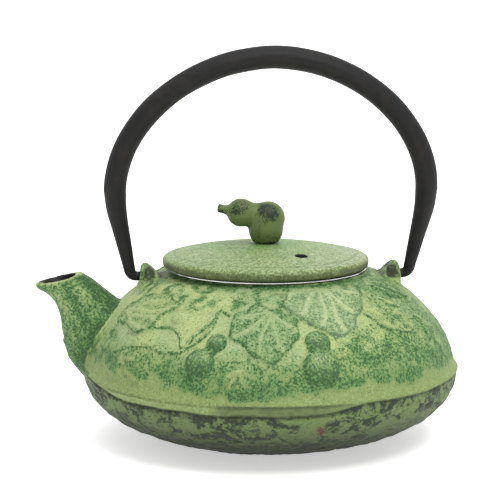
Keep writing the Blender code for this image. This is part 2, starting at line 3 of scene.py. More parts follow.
import bmesh
import bpy
import numpy as np
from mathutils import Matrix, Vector


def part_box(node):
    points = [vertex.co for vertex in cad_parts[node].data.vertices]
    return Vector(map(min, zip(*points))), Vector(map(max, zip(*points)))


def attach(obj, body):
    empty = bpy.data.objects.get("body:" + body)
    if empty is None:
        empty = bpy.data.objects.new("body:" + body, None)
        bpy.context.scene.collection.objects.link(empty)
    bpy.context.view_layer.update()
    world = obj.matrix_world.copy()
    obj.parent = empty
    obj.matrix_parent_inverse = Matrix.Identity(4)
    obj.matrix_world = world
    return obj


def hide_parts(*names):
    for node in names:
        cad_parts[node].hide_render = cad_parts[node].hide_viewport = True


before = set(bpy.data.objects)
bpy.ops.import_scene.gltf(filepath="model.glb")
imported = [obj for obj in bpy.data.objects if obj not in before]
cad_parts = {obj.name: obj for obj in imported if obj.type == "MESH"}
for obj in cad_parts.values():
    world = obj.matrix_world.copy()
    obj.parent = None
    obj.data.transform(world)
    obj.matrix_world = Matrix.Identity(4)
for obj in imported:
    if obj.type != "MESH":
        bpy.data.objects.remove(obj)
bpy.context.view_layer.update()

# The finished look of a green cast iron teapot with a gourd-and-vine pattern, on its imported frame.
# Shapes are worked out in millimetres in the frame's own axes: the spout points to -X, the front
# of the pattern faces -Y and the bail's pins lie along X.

MM = 0.001


def node_box(node):
    """Lowest and highest corners of a CAD node, in millimetres."""
    low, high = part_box(node)
    return np.array(low) / MM, np.array(high) / MM


BODY_HIGH = node_box("body")[1]
LID_LOW, LID_HIGH = node_box("lid")
RIM_LOW, RIM_HIGH = node_box("infuser_rim")
WALL_LOW, WALL_HIGH = node_box("infuser_wall")
RING_LOW, RING_HIGH = node_box("infuser_bottom_ring")
SCREEN_LOW, SCREEN_HIGH = node_box("infuser_bottom")
KNOB_LOW = node_box("lid_knob")[0]
SCREW_LOW, SCREW_HIGH = node_box("knob_screw")
WASHER_LOW, WASHER_HIGH = node_box("knob_washer")

# --- Body: the pot's own sizes ---------------------------------------------------------------------
CREST_RADIUS = BODY_HIGH[0]
CREST_Z = 30.0
BOWL_RADIUS = CREST_RADIUS - 1.2
BOWL_HEIGHT = 32.0
BOWL_POWER = 2.18
DOME_RADIUS = CREST_RADIUS - 2.0
DOME_HEIGHT = 51.7
DOME_POWER = 1.88
SHOULDER_RADIUS = 49.0
MOUTH_Z = 72.0
MOUTH_OUTER_RADIUS = 41.2
MOUTH_RADIUS = 38.6
CAVITY_RADIUS = 75.0
CAVITY_BOWL_HEIGHT = 28.6
CAVITY_DOME_HEIGHT = 46.5
FLOOR_THICKNESS = 3.5
DOME_FOOT_RISE = 6.0           # where the dome gives way to the crest
CREST_EDGE = [(-0.7, 1.6), (0.0, 0.7), (-0.5, 0.1)]     # radius and z from the crest
BASE_CHAMFER = (0.8, 0.3)      # radius and z, round the flat base
MOUTH_OVERRUN = 8.0            # how far the hollow's cutter stands above the mouth
BODY_TURNS = 288               # faces round the shell before it is fused
SKIN = 0.6                     # face size of the fused iron skin

# Spout sections: front edge (x, z), back edge (x, z), half width
SPOUT_STATIONS = [
    ((-70.0, 17.0), (-50.0, 48.0), 15.0),
    ((-79.6, 26.9), (-54.0, 54.0), 14.5),
    ((-85.0, 34.0), (-58.5, 56.6), 13.5),
    ((-87.6, 41.0), (-63.3, 59.1), 12.4),
    ((-88.3, 47.5), (-66.5, 61.5), 11.2),
    ((-89.1, 53.5), (-69.7, 64.0), 10.2),
    ((-91.0, 58.6), (-72.6, 66.5), 9.4),
    ((-94.6, 62.6), (-75.7, 68.9), 8.9),
    ((-98.4, 64.6), (-78.4, 70.5), 9.0),
    ((-99.9, 67.0), (-79.2, 71.6), 9.0),
]
SPOUT_SIDES = 72
SPOUT_FILL = 6                 # rings between one station and the next
SPOUT_KEEL = (0.45, 0.22)      # how much the front edge narrows, at the root and at the mouth
SPOUT_WALL = (3.4, 1.6)        # wall at the root and at the mouth
SPOUT_BEAK = 2.0               # how much thicker the wall is at the beak and the back
SPOUT_OVERRUN = 6.0

PIN_Z = 69.4
PIN_RADIUS = 2.0
PIN_END_X = 50.2
SOCKET_RADIUS = 2.5
SOCKET_END_X = 49.6
LUG_OUTER_X = 55.4
LUG_TOP_Z = BODY_HIGH[2]
LUG_FOOT_X = 46.0
LUG_ROOT_Z = 60.0
LUG_FOOT_HALF_WIDTH = 8.0
LUG_TIP_HALF_WIDTH = 5.7
LUG_TIP_RADIUS = 1.9

# --- Bail ------------------------------------------------------------------------------------------
BAIL_SPRING_Z = 106.0
BAIL_HALF_SPAN = 65.9
BAIL_ARCH_HEIGHT = 55.3
BAIL_ARCH_POWER = 1.9
BAIL_TOP_RADIUS = 5.0
BAIL_SPRING_RADIUS = 4.85
BAIL_LEG_TOP = (65.1, 97.5, 4.3)
BAIL_LEG_FOOT = (59.7, 73.0, 2.45)
BAIL_BEND_RADIUS = 3.1
BAIL_LEAN = 0.017
BAIL_WIDENING = 1.2
BAIL_WIDEN_Z = (76.0, 104.0)
BAIL_SIDES = 40

# --- Lid and knob ----------------------------------------------------------------------------------
LID_X = (LID_LOW[0] + LID_HIGH[0]) / 2
LID_RADIUS = (LID_HIGH[0] - LID_LOW[0]) / 2
LID_SHOULDER_RADIUS = LID_RADIUS - 1.6
LID_UNDER_Z = 73.5
LID_EDGE_Z = 76.4
LID_SHOULDER_Z = 77.9
LID_TOP_Z = LID_HIGH[2]
LID_UNDERSIDE_TOP_Z = 79.6
LID_UNDERSIDE_EDGE_Z = 75.4
LID_SKIRT_RADIUS = 33.3
LID_SKIRT_INNER_RADIUS = 30.8
LID_SKIRT_Z = LID_LOW[2]
LID_SKIN = 0.5
VENT = (LID_X + 12.9, -23.1)
VENT_RADIUS = 2.5
LID_LINE_RADIUS = 38.6         # a fine turned line near the lid's edge
SCREW_HOLE_RADIUS = 2.4

KNOB_BIG_BULB = (LID_X + 1.1, 93.6)
KNOB_SMALL_BULB = (LID_X - 10.4, 96.0)
KNOB_BIG_RADIUS = 7.2
KNOB_NECK_RADIUS = 5.2
KNOB_SMALL_RADIUS = 6.1
KNOB_STEM_RADIUS = 2.0
KNOB_STEM_REACH = 10.2
KNOB_FOOT_Z = KNOB_LOW[2]
KNOB_FOOT = [(0.0, 100.6), (3.0, 100.0), (5.6, 98.0), (7.0, 95.5), (7.5, 93.0), (7.6, 90.5),
             (7.5, 88.4), (7.0, 86.4), (6.1, 84.6), (5.3, KNOB_FOOT_Z),
             (0.0, KNOB_FOOT_Z)]    # radius, z
KNOB_SKIN = 0.3
TAPPING_RADIUS = 2.3
TAPPING_TOP_Z = 92.0

# --- Screw that holds the knob ---------------------------------------------------------------------
SHANK_RADIUS = 2.0
THREAD_PITCH = 0.7
THREAD_DEPTH = 0.28
SCREW_HEAD_HEIGHT = 2.2
SLOT_HALF_WIDTH = 0.45
SLOT_HALF_LENGTH = 6.0
SLOT_DEPTH = 1.0

# --- Strainer basket -------------------------------------------------------------------------------
BASKET_X = (RIM_LOW[0] + RIM_HIGH[0]) / 2
FLANGE_RADIUS = (RIM_HIGH[0] - RIM_LOW[0]) / 2
SKIRT_RADII = (35.5, 36.1)
WALL_RADIUS = 34.95
WIRE = 0.3                     # thickness of the woven wires
WALL_WIRES = 168               # upright wires round the basket
WALL_SWING = 0.08              # how far a wall wire passes in and out
SCREEN_PITCH = 1.3
SCREEN_SWING = 0.07
BOTTOM_RING_INNER_RADIUS = 31.0
BOTTOM_RING_THICKNESS = 0.6
FLANGE_THICKNESS = 0.8


# --- Studio: metres and degrees, the lens and sensor in millimetres --------------------------------
CAMERA_SWING = 4.9             # towards the spout
CAMERA_PITCH = 8.948
CAMERA_AIM = 0.608
CAMERA_DISTANCE = 0.8
CAMERA_HEIGHT = 0.2058
CAMERA_LENS = 137.6
CAMERA_SENSOR = 36.0
FLOOR_FRONT = -2.0
FLOOR_DEPTH = 1.6
FLOOR_RISE = 1.6
FLOOR_BEND = 0.5
FLOOR_HALF_WIDTH = 2.4
ROOM_LIGHT = 0.64
LAMP_TARGET = (0.0, 0.0, 0.05)


# === Small tools ===================================================================================

def soft_step(low, high, value):
    t = np.clip((value - low) / (high - low), 0.0, 1.0)
    return t * t * (3 - 2 * t)


def bell(value, width):
    return np.exp(-(value / width) ** 2)


def mix(a, b, t):
    return a + (b - a) * t


def lumps(points, size, seed):
    """Smooth random lumps from -1 to 1, about one for every size millimetres."""
    cells = 32
    table = np.random.default_rng(seed).uniform(-1.0, 1.0, (cells, cells, cells))
    places = np.asarray(points) / size + cells * 8
    corner = np.floor(places).astype(int)
    part = places - corner
    part = part * part * (3 - 2 * part)
    total = np.zeros(len(places))
    for dx in (0, 1):
        for dy in (0, 1):
            for dz in (0, 1):
                weight = np.ones(len(places))
                for axis, step in enumerate((dx, dy, dz)):
                    weight *= part[:, axis] if step else 1 - part[:, axis]
                i, j, k = ((corner + (dx, dy, dz)) % cells).T
                total += weight * table[i, j, k]
    return total


def curve_through(points, steps):
    """A smooth curve through the points, as a dense row of points with the ends kept."""
    p = np.asarray(points, float)
    p = np.vstack([2 * p[0] - p[1], p, 2 * p[-1] - p[-2]])
    rows = []
    for a, b, c, d in zip(p, p[1:], p[2:], p[3:]):
        for t in np.arange(steps) / steps:
            rows.append(0.5 * (2 * b + (c - a) * t + (2 * a - 5 * b + 4 * c - d) * t ** 2
                               + (3 * b - a - 3 * c + d) * t ** 3))
    rows.append(p[-2])
    return np.array(rows)


def eased(outline, radius, steps=6, closed=False):
    """The outline with every corner rounded over about the given length."""
    p = [np.array(point, float) for point in outline]
    count = len(p)
    result = []
    for i, corner in enumerate(p):
        if not closed and i in (0, count - 1):
            result.append(corner)
            continue
        before, after = p[i - 1] - corner, p[(i + 1) % count] - corner
        reach = min(radius, 0.49 * np.linalg.norm(before), 0.49 * np.linalg.norm(after))
        start = corner + before / np.linalg.norm(before) * reach
        end = corner + after / np.linalg.norm(after) * reach
        for t in np.linspace(0, 1, steps):
            result.append((1 - t) ** 2 * start + 2 * t * (1 - t) * corner + t ** 2 * end)
    return np.array(result)


def turned(profile, steps, centre_x=0.0, closed=False):
    """Points and faces of a turned skin. The profile is (radius, z), down the outer side."""
    profile = np.asarray(profile, float)
    angles = 2 * math.pi * np.arange(steps) / steps
    rings = len(profile)
    x = centre_x + np.outer(profile[:, 0], np.cos(angles))
    y = np.outer(profile[:, 0], np.sin(angles))
    z = np.outer(profile[:, 1], np.ones(steps))
    points = np.stack([x, y, z], axis=-1).reshape(-1, 3)
    faces = []
    for i in range(rings if closed else rings - 1):
        low, high = i * steps, (i + 1) % rings * steps
        for j in range(steps):
            k = (j + 1) % steps
            faces.append((low + j, high + j, high + k, low + k))
    return points, faces


def lofted(rings):
    """Points and faces of a solid through rings of equal counts, closed by a fan at each end."""
    rings = np.asarray(rings, float)
    count, sides = rings.shape[:2]
    points = np.vstack([rings.reshape(-1, 3), rings[0].mean(0), rings[-1].mean(0)])
    faces = []
    for i in range(count - 1):
        for j in range(sides):
            k = (j + 1) % sides
            faces.append((i * sides + j, i * sides + k, (i + 1) * sides + k, (i + 1) * sides + j))
    first, last = count * sides, count * sides + 1
    for j in range(sides):
        k = (j + 1) % sides
        faces.append((first, k, j))
        faces.append((last, (count - 1) * sides + j, (count - 1) * sides + k))
    return points, faces


def new_mesh_object(name, points, faces):
    """A mesh object from millimetres, with its faces pointing out."""
    mesh = bpy.data.meshes.new(name)
    mesh.from_pydata((np.asarray(points) * MM).tolist(), [], [tuple(face) for face in faces])
    work = bmesh.new()
    work.from_mesh(mesh)
    bmesh.ops.remove_doubles(work, verts=work.verts, dist=0.001 * MM)
    bmesh.ops.recalc_face_normals(work, faces=work.faces)
    work.to_mesh(mesh)
    work.free()
    obj = bpy.data.objects.new(name, mesh)
    bpy.context.scene.collection.objects.link(obj)
    return obj


def settle(obj):
    """Works out the object's modifiers for good and leaves a plain mesh."""
    bpy.context.view_layer.update()
    graph = bpy.context.evaluated_depsgraph_get()
    mesh = bpy.data.meshes.new_from_object(obj.evaluated_get(graph))
    obj.modifiers.clear()
    obj.data = mesh


def combine(obj, tools, operation):
    """Joins each tool to the object, or cuts it out, and removes the tool."""
    for tool in tools:
        modifier = obj.modifiers.new(operation.lower(), "BOOLEAN")
        modifier.object = tool
        modifier.operation = operation
        modifier.solver = "MANIFOLD"
    settle(obj)
    for tool in tools:
        bpy.data.objects.remove(tool, do_unlink=True)


def fuse(obj, size):
    """Gives the object one even skin of small faces, with its parts grown together."""
    modifier = obj.modifiers.new("skin", "REMESH")
    modifier.mode = "VOXEL"
    modifier.voxel_size = size * MM
    settle(obj)


def corners(obj):
    """The mesh's points in millimetres."""
    flat = np.empty(len(obj.data.vertices) * 3, np.float32)
    obj.data.vertices.foreach_get("co", flat)
    return flat.reshape(-1, 3).astype(float) / MM


def move_corners(obj, points):
    obj.data.vertices.foreach_set("co", (points * MM).astype(np.float32).ravel())
    obj.data.update()


def outward(obj):
    flat = np.empty(len(obj.data.vertices) * 3, np.float32)
    obj.data.vertices.foreach_get("normal", flat)
    return flat.reshape(-1, 3).astype(float)


def relax(obj, points, rounds, hold=None):
    """Evens out the skin. hold is how much of each point stays put, from 0 to 1."""
    edges = np.empty(len(obj.data.edges) * 2, np.int32)
    obj.data.edges.foreach_get("vertices", edges)
    a, b = edges.reshape(-1, 2).T
    count = np.bincount(np.concatenate([a, b]), minlength=len(points))
    free = 0.5 if hold is None else 0.5 * (1 - hold)[:, None]
    for _ in range(rounds):
        mean = np.empty_like(points)
        for axis in range(3):
            column = points[:, axis]
            mean[:, axis] = (np.bincount(a, column[b], len(points))
                             + np.bincount(b, column[a], len(points))) / count
        points = points + (mean - points) * free
    return points


def keep_mask(obj, name, values):
    """Stores one number for every point of the mesh, for the material to read."""
    layer = obj.data.attributes.new(name, "FLOAT", "POINT")
    layer.data.foreach_set("value", np.clip(values, 0.0, 1.0).astype(np.float32))


def finish_piece(obj, material, body, slot, *nodes):
    obj.data.materials.clear()
    obj.data.materials.append(material)
    obj.data.shade_smooth()
    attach(obj, body)
    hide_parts(*nodes)
    return obj


# === Finishes ======================================================================================

class Value:
    """A value on its way through a material, so that shader maths reads as plain arithmetic."""

    def __init__(self, finish, socket):
        self.finish = finish
        self.socket = socket

    def _maths(self, operation, first, second):
        return self.finish.node("ShaderNodeMath", {"operation": operation}, {0: first, 1: second})

    def __add__(self, other):
        return self._maths("ADD", self, other)

    def __sub__(self, other):
        return self._maths("SUBTRACT", self, other)

    def __mul__(self, other):
        return self._maths("MULTIPLY", self, other)

    def __rsub__(self, other):
        return self._maths("SUBTRACT", other, self)

    __radd__ = __add__
    __rmul__ = __mul__


class Finish:
    """A procedural material under construction."""

    def __init__(self, name, **sockets):
        self.material = bpy.data.materials.new(name)
        self.material.use_nodes = True
        self.tree = self.material.node_tree
        self.shader = self.tree.nodes["Principled BSDF"]
        self.place = self.node("ShaderNodeTexCoord", output="Object")
        self.wear(**sockets)

    def node(self, kind, settings=None, inputs=None, output=0):
        """Adds a node, sets it up, feeds its sockets and returns one of its outputs."""
        node = self.tree.nodes.new(kind)
        for key, setting in (settings or {}).items():
            setattr(node, key, setting)
        for key, value in (inputs or {}).items():
            self.feed(node.inputs[key], value)
        return Value(self, node.outputs[output])

    def feed(self, socket, value):
        if isinstance(value, Value):
            self.tree.links.new(value.socket, socket)
        elif isinstance(value, tuple) and len(value) == 3 and socket.type == "RGBA":
            socket.default_value = (*value, 1.0)
        else:
            socket.default_value = value

    def wear(self, **sockets):
        """Feeds the shader's own sockets, such as base_color or roughness."""
        for name, value in sockets.items():
            self.feed(self.shader.inputs[name.replace("_", " ").title().replace("Ior", "IOR")], value)
        return self

    def stretched(self, by):
        """The piece's own coordinates, scaled along each axis."""
        return self.node("ShaderNodeVectorMath", {"operation": "MULTIPLY"},
                         {0: self.place, 1: by})

    def noise(self, size, detail=3.0, roughness=0.55, place=None, distortion=0.0):
        """Cloudy noise around 0.5 whose lumps are about size millimetres across."""
        return self.node("ShaderNodeTexNoise", {"noise_dimensions": "3D"}, {
            "Vector": place or self.place, "Scale": 1.0 / (size * MM), "Detail": detail,
            "Roughness": roughness, "Distortion": distortion}, "Fac")

    def dots(self, size):
        """Distance to the nearest of scattered points, in units of their spacing."""
        return self.node("ShaderNodeTexVoronoi", {"feature": "F1"}, {
            "Vector": self.place, "Scale": 1.0 / (size * MM)}, "Distance")

    def mask(self, name):
        return self.node("ShaderNodeAttribute", {"attribute_name": name}, output="Fac")

    def fade(self, value, low, high):
        """0 below low, 1 above high and smooth between; low may be above high."""
        start, end, first, last = (low, high, 0.0, 1.0) if low < high else (high, low, 1.0, 0.0)
        return self.node("ShaderNodeMapRange", {"interpolation_type": "SMOOTHSTEP"}, {
            "Value": value, "From Min": start, "From Max": end, "To Min": first, "To Max": last})

    def height(self):
        """Height above the ground in millimetres."""
        return self.node("ShaderNodeSeparateXYZ", inputs={0: self.place}, output="Z") * (1 / MM)

    def blend(self, factor, first, second):
        """One colour over another."""
        return self.node("ShaderNodeMix", {"data_type": "RGBA"},
                         {0: factor, 6: first, 7: second}, 2)

    def bumps(self, height, depth):
        """A normal from a height, depth in millimetres for a height of 1."""
        return self.node("ShaderNodeBump", inputs={
            "Height": height, "Distance": depth * MM, "Strength": 1.0}, output="Normal")


LEMON_GREEN = (0.325, 0.390, 0.165)
SAGE_GREEN = (0.265, 0.345, 0.165)
# pale green, both for the paint's light flecks and for painted sheen
PALE_FLECK_AND_SHEEN_GREEN = (0.44, 0.50, 0.31)
# olive for the dome's darker foot, partly the paint's tone and partly painted shade
OLIVE_AND_SHADE_GREEN = (0.170, 0.225, 0.075)
MOSS_GREEN = (0.100, 0.155, 0.050)
CREVICE = (0.026, 0.032, 0.020)
LEAF_GREEN = (0.088, 0.192, 0.058)
DEEP_GREEN = (0.034, 0.080, 0.028)
BOWL_GREEN = (0.140, 0.180, 0.078)
BOWL_DARK = (0.024, 0.034, 0.020)
# painted shade for the bottom of the bowl
BOWL_BOTTOM_SHADE = (0.017, 0.017, 0.011)
FILLER_GREEN = (0.115, 0.150, 0.062)
RUST = (0.085, 0.045, 0.028)
LID_REFLECTION_GREY = (0.250, 0.295, 0.170)
LID_SAGE = (0.195, 0.265, 0.108)
LID_GREEN = (0.100, 0.215, 0.040)
LID_FLECK = (0.040, 0.080, 0.028)
LID_SIDE = (0.160, 0.220, 0.065)
LID_SHADE = (0.050, 0.065, 0.024)
KNOB_LIGHT = (0.095, 0.135, 0.042)
KNOB_DARK = (0.016, 0.026, 0.013)
ENAMEL = (0.010, 0.010, 0.011)


def cast_grain(finish, coarse=1.0):
    """The sandy skin of an iron casting under thin paint."""
    sand = finish.noise(0.75, 2.0, 0.6)
    hills = finish.noise(2.6, 3.0, 0.6)
    return finish.bumps(hills * (0.34 * coarse) + sand * (0.17 * coarse), 1.0)


def patina_iron():
    """Body: lemon-green paint sponged with darker greens, over a dark bowl and black enamel, with
    painted shade and painted highlights in the colour.
    """
    finish = Finish("patina_iron", specular_ior_level=0.2, ior=1.45)
    wash_and_shade, pale, painted_sheen = finish.mask("wash_and_shade"), finish.mask("pale"), finish.mask("painted_sheen")
    lining, filler = finish.mask("lining"), finish.mask("filler")
    broad = finish.noise(26.0, 2.0)
    sponge = finish.noise(3.2, 4.0, 0.7)
    stipple = finish.noise(0.95, 2.0, 0.6)
    fleck = finish.noise(0.55, 1.0, 0.5)
    grit = stipple + (fleck - 0.5) * 0.8
    height = finish.height()
    light = finish.blend(finish.fade(broad, 0.38, 0.62), SAGE_GREEN, LEMON_GREEN)
    # darker olive towards the crest: partly the paint's own tone, partly painted shade where light
    # falls off down the dome
    light = finish.blend(finish.fade(height + (sponge - 0.5) * 8.0, 52.0, 34.0) * 0.9, light,
                         OLIVE_AND_SHADE_GREEN)
    light = finish.blend(finish.fade(grit, 0.54, 0.70) * 0.30, light, PALE_FLECK_AND_SHEEN_GREEN)
    light = finish.blend(finish.fade(grit, 0.47, 0.33) * 0.55, light, MOSS_GREEN)
    # painted sheen: a pale haze of reflected light on the big leaves and the gourds' tops
    light = finish.blend(painted_sheen * finish.fade(sponge, 0.3, 0.6), light, PALE_FLECK_AND_SHEEN_GREEN)
    marks = finish.noise(1.9, 3.0, 0.65)
    dabbed = wash_and_shade * 1.25 + (sponge - 0.5) * 1.2 + (marks - 0.5) * 1.2 + (grit - 0.5) * 1.3
    # the painted highlights on veins and stems keep the dark dabs off
    dabbed = dabbed - pale * 0.6
    green = finish.blend(finish.fade(dabbed + (grit - 0.5) * 1.2, 0.55, 1.25), LEAF_GREEN,
                         DEEP_GREEN)
    # painted sheen over the dark green as well
    green = finish.blend(painted_sheen * 0.4, green, PALE_FLECK_AND_SHEEN_GREEN)
    dome = finish.blend(finish.fade(dabbed, 0.20, 0.80), light, green)

    clouds = finish.noise(9.0, 4.0, 0.66, finish.stretched((1.0, 1.0, 1.5)), 0.9)
    patches = finish.fade(clouds + (marks - 0.5) * 0.42 + (grit - 0.5) * 0.12, 0.43, 0.58)
    pot_green = finish.blend(finish.fade(grit + (marks - 0.5) * 0.8, 0.35, 0.60), MOSS_GREEN,
                             BOWL_GREEN)
    pot_green = finish.blend(filler, pot_green, FILLER_GREEN)
    bowl = finish.blend(patches * (1 - filler * 0.7), pot_green, BOWL_DARK)
    # painted shade: darker towards the bottom of the bowl, where less light reaches
    bowl = finish.blend(finish.fade(height + (clouds - 0.5) * 16.0, 26.0, 6.0) * 0.92, bowl,
                        BOWL_BOTTOM_SHADE)
    bowl = finish.blend(finish.mask("rust") * finish.fade(sponge, 0.40, 0.60), bowl, RUST)
    colour = finish.blend(finish.mask("below"), dome, bowl)
    # painted shadow in the crest's groove and at the lugs' feet, and black patina on the lugs' faces
    colour = finish.blend(finish.mask("black_patina_and_shade") * finish.fade(sponge, 0.2, 0.55), colour, CREVICE)
    pits = finish.fade(finish.dots(3.4), 0.13, 0.08) * finish.fade(broad, 0.45, 0.6)
    colour = finish.blend(pits * 0.8, colour, CREVICE)
    colour = finish.blend(lining, colour, ENAMEL)
    rough = 0.66 - finish.fade(dabbed, -0.2, 1.2) * 0.08 + (grit - 0.5) * 0.2
    finish.wear(base_color=colour, roughness=rough * (1 - lining) + lining * 0.42,
                normal=cast_grain(finish))
    return finish.material


def lid_iron():
    """Lid: the same paint, finely speckled, greener behind the knob, with a painted reflection that
    makes it greyer at its right edge.
    """
    finish = Finish("lid_iron", specular_ior_level=0.25, ior=1.45)
    sponge = finish.noise(4.0, 4.0, 0.7)
    stipple = finish.noise(1.2, 2.0, 0.6)
    fleck = finish.noise(0.7, 1.0, 0.5)
    speckle = stipple + (fleck - 0.5) * 0.8
    patch = finish.mask("fresh") * 0.95 + (sponge - 0.5) * 2.4 + (speckle - 0.5) * 1.4
    # painted reflection: the lid's right edge is laid in greyer, as haze from the bright room
    plain = finish.blend(finish.mask("painted_reflection"), LID_SAGE, LID_REFLECTION_GREY)
    colour = finish.blend(finish.fade(patch, -0.05, 0.65) * 0.9, plain, LID_GREEN)
    colour = finish.blend(finish.mask("side"), colour, LID_SIDE)
    colour = finish.blend(finish.fade(speckle, 0.46, 0.38) * 0.55, colour, LID_FLECK)
    colour = finish.blend(finish.fade(speckle, 0.53, 0.61) * 0.45, colour, PALE_FLECK_AND_SHEEN_GREEN)
    pits = finish.fade(finish.dots(2.6), 0.12, 0.07) * finish.fade(sponge, 0.5, 0.62)
    colour = finish.blend(pits * 0.85, colour, CREVICE)
    colour = finish.blend(finish.mask("line") * 0.5, colour, LID_SHADE)
    colour = finish.blend(finish.mask("under"), colour, LID_SHADE)
    colour = finish.blend(finish.mask("lining"), colour, ENAMEL)
    finish.wear(base_color=colour, roughness=(stipple - 0.5) * 0.25 + 0.55,
                normal=cast_grain(finish, 0.8))
    return finish.material


def knob_iron():
    """Knob: green, with blackish patches on its bulbs, a dark stem, and painted shade underneath and
    at its foot.
    """
    finish = Finish("knob_iron", specular_ior_level=0.25, ior=1.45)
    patches = finish.noise(3.0, 4.0, 0.7)
    speckle = finish.noise(0.7, 2.0, 0.6)
    dark = finish.mask("wash_and_shade") + (patches - 0.5) * 1.8 + (speckle - 0.5) * 1.6
    colour = finish.blend(finish.fade(dark, 0.15, 0.75), KNOB_LIGHT, KNOB_DARK)
    finish.wear(base_color=colour, roughness=(speckle - 0.5) * 0.25 + 0.45,
                normal=cast_grain(finish, 0.5))
    return finish.material


def black_iron():
    """Bail: black satin paint over forged bar, slightly browner in soft patches."""
    finish = Finish("black_iron", specular_ior_level=0.22, ior=1.45)
    worn = finish.noise(7.0, 4.0, 0.6)
    sand = finish.noise(0.5, 2.0)
    colour = finish.blend(finish.fade(worn, 0.45, 0.7), (0.0095, 0.009, 0.009),
                          (0.016, 0.0145, 0.0135))
    hammered = finish.noise(4.0, 2.0)
    finish.wear(base_color=colour, roughness=(worn - 0.5) * 0.3 + 0.62,
                normal=finish.bumps(hammered * 0.25 + sand * 0.05, 1.0))
    return finish.material


def pressed_steel(name, shade=0.72, roughness=0.22):
    """Bright pressed stainless steel with faint rings from spinning."""
    finish = Finish(name, metallic=1.0)
    rings = finish.noise(0.35, 2.0, 0.5, finish.stretched((0.04, 0.04, 1.0)))
    smudge = finish.noise(11.0, 3.0)
    colour = finish.blend(finish.fade(smudge, 0.3, 0.7), (shade * 0.92,) * 3, (shade,) * 3)
    finish.wear(base_color=colour, roughness=(rings - 0.5) * 0.18 + roughness,
                normal=finish.bumps(rings, 0.02))
    return finish.material


def zinc_steel():
    """Zinc-plated screw and washer, slightly yellowed and dull in places."""
    finish = Finish("zinc_plate", metallic=1.0)
    cloud = finish.noise(1.8, 3.0, 0.6)
    colour = finish.blend(finish.fade(cloud, 0.35, 0.7), (0.60, 0.60, 0.62), (0.50, 0.47, 0.40))
    finish.wear(base_color=colour, roughness=cloud * 0.4 + 0.15,
                normal=finish.bumps(finish.noise(0.3, 2.0), 0.02))
    return finish.material


# === Body ==========================================================================================

def superellipse_radius(half_width, height, power, rise):
    return half_width * (1 - np.clip(rise / height, 0, 1) ** power) ** (1 / power)


def superellipse_rise(half_width, height, power, radius):
    return height * (1 - (radius / half_width) ** power) ** (1 / power)


def dome_curve(half_width, height, top_radius, foot_rise, steps):
    top_rise = superellipse_rise(half_width, height, DOME_POWER, top_radius)
    turn = np.linspace(math.asin(top_rise / height), math.asin(foot_rise / height), steps)
    rise = height * np.sin(turn)
    return list(zip(superellipse_radius(half_width, height, DOME_POWER, rise), CREST_Z + rise))


def bowl_curve(half_width, height, first_drop, floor_z, steps):
    turn = np.linspace(math.asin(first_drop / height), math.asin((CREST_Z - floor_z) / height),
                       steps)
    drop = height * np.sin(turn)
    return list(zip(superellipse_radius(half_width, height, BOWL_POWER, drop), CREST_Z - drop))


def shell_profile():
    """Outer outline from the mouth's centre to the base's centre, with the cove and the crest."""
    lip = eased([(0.0, MOUTH_Z), (MOUTH_OUTER_RADIUS, MOUTH_Z),
                 (MOUTH_OUTER_RADIUS + 0.7, MOUTH_Z - 0.9),
                 (MOUTH_OUTER_RADIUS + 3.6, MOUTH_Z - 1.8),
                 (SHOULDER_RADIUS, CREST_Z + superellipse_rise(
                     DOME_RADIUS, DOME_HEIGHT, DOME_POWER, SHOULDER_RADIUS))], 0.9)
    edge = [(CREST_RADIUS + out, CREST_Z + up) for out, up in CREST_EDGE]
    crest = eased([(DOME_RADIUS - 1.0, CREST_Z + DOME_FOOT_RISE), (DOME_RADIUS, CREST_Z + 3.2),
                   *edge, (BOWL_RADIUS - 0.1, CREST_Z - 0.9)], 0.6)
    profile = list(map(tuple, lip))
    profile += dome_curve(DOME_RADIUS, DOME_HEIGHT, SHOULDER_RADIUS - 0.5,
                          DOME_FOOT_RISE, 60)
    profile += list(map(tuple, crest[1:-1]))
    profile += bowl_curve(BOWL_RADIUS, BOWL_HEIGHT, 1.5, 0.0, 48)
    flat_edge = profile.pop()[0]
    inward, up = BASE_CHAMFER
    profile += [(flat_edge, up), (flat_edge - inward, 0.0), (0.0, 0.0)]
    return profile


def hollow_profile():
    """Outline of the inside, from above the mouth down to the floor."""
    profile = [(0.0, MOUTH_Z + MOUTH_OVERRUN), (MOUTH_RADIUS, MOUTH_Z + MOUTH_OVERRUN)]
    profile += dome_curve(CAVITY_RADIUS, CAVITY_DOME_HEIGHT, MOUTH_RADIUS, 1.0, 36)
    profile += bowl_curve(CAVITY_RADIUS, CAVITY_BOWL_HEIGHT, 1.0, FLOOR_THICKNESS, 30)
    return profile + [(0.0, FLOOR_THICKNESS)]


def spout_rings(inset_by_wall):
    """Egg-shaped sections of the spout's skin, or of its channel."""
    stations = curve_through([(*front, *back, half) for front, back, half in SPOUT_STATIONS],
                             SPOUT_FILL)
    rings = []
    angles = 2 * math.pi * np.arange(SPOUT_SIDES) / SPOUT_SIDES
    for t, (front_x, front_z, back_x, back_z, half) in zip(np.linspace(0, 1, len(stations)),
                                                           stations):
        inset = mix(*SPOUT_WALL, t) if inset_by_wall else 0.0
        front, back = np.array([front_x, 0.0, front_z]), np.array([back_x, 0.0, back_z])
        centre, reach = (front + back) / 2, (front - back) / 2
        if inset_by_wall:
            reach *= 1 - (inset + SPOUT_BEAK * t ** 3) / np.linalg.norm(reach)
        narrow = 1 - mix(*SPOUT_KEEL, t) * (1 + np.cos(angles)) / 2
        ring = centre + np.outer(np.cos(angles), reach)
        ring[:, 1] += (half - inset) * narrow * np.sin(angles)
        rings.append(ring)
    if inset_by_wall:
        run = rings[-1].mean(0) - rings[-3].mean(0)
        rings.append(rings[-1] + run / np.linalg.norm(run) * SPOUT_OVERRUN)
    return rings


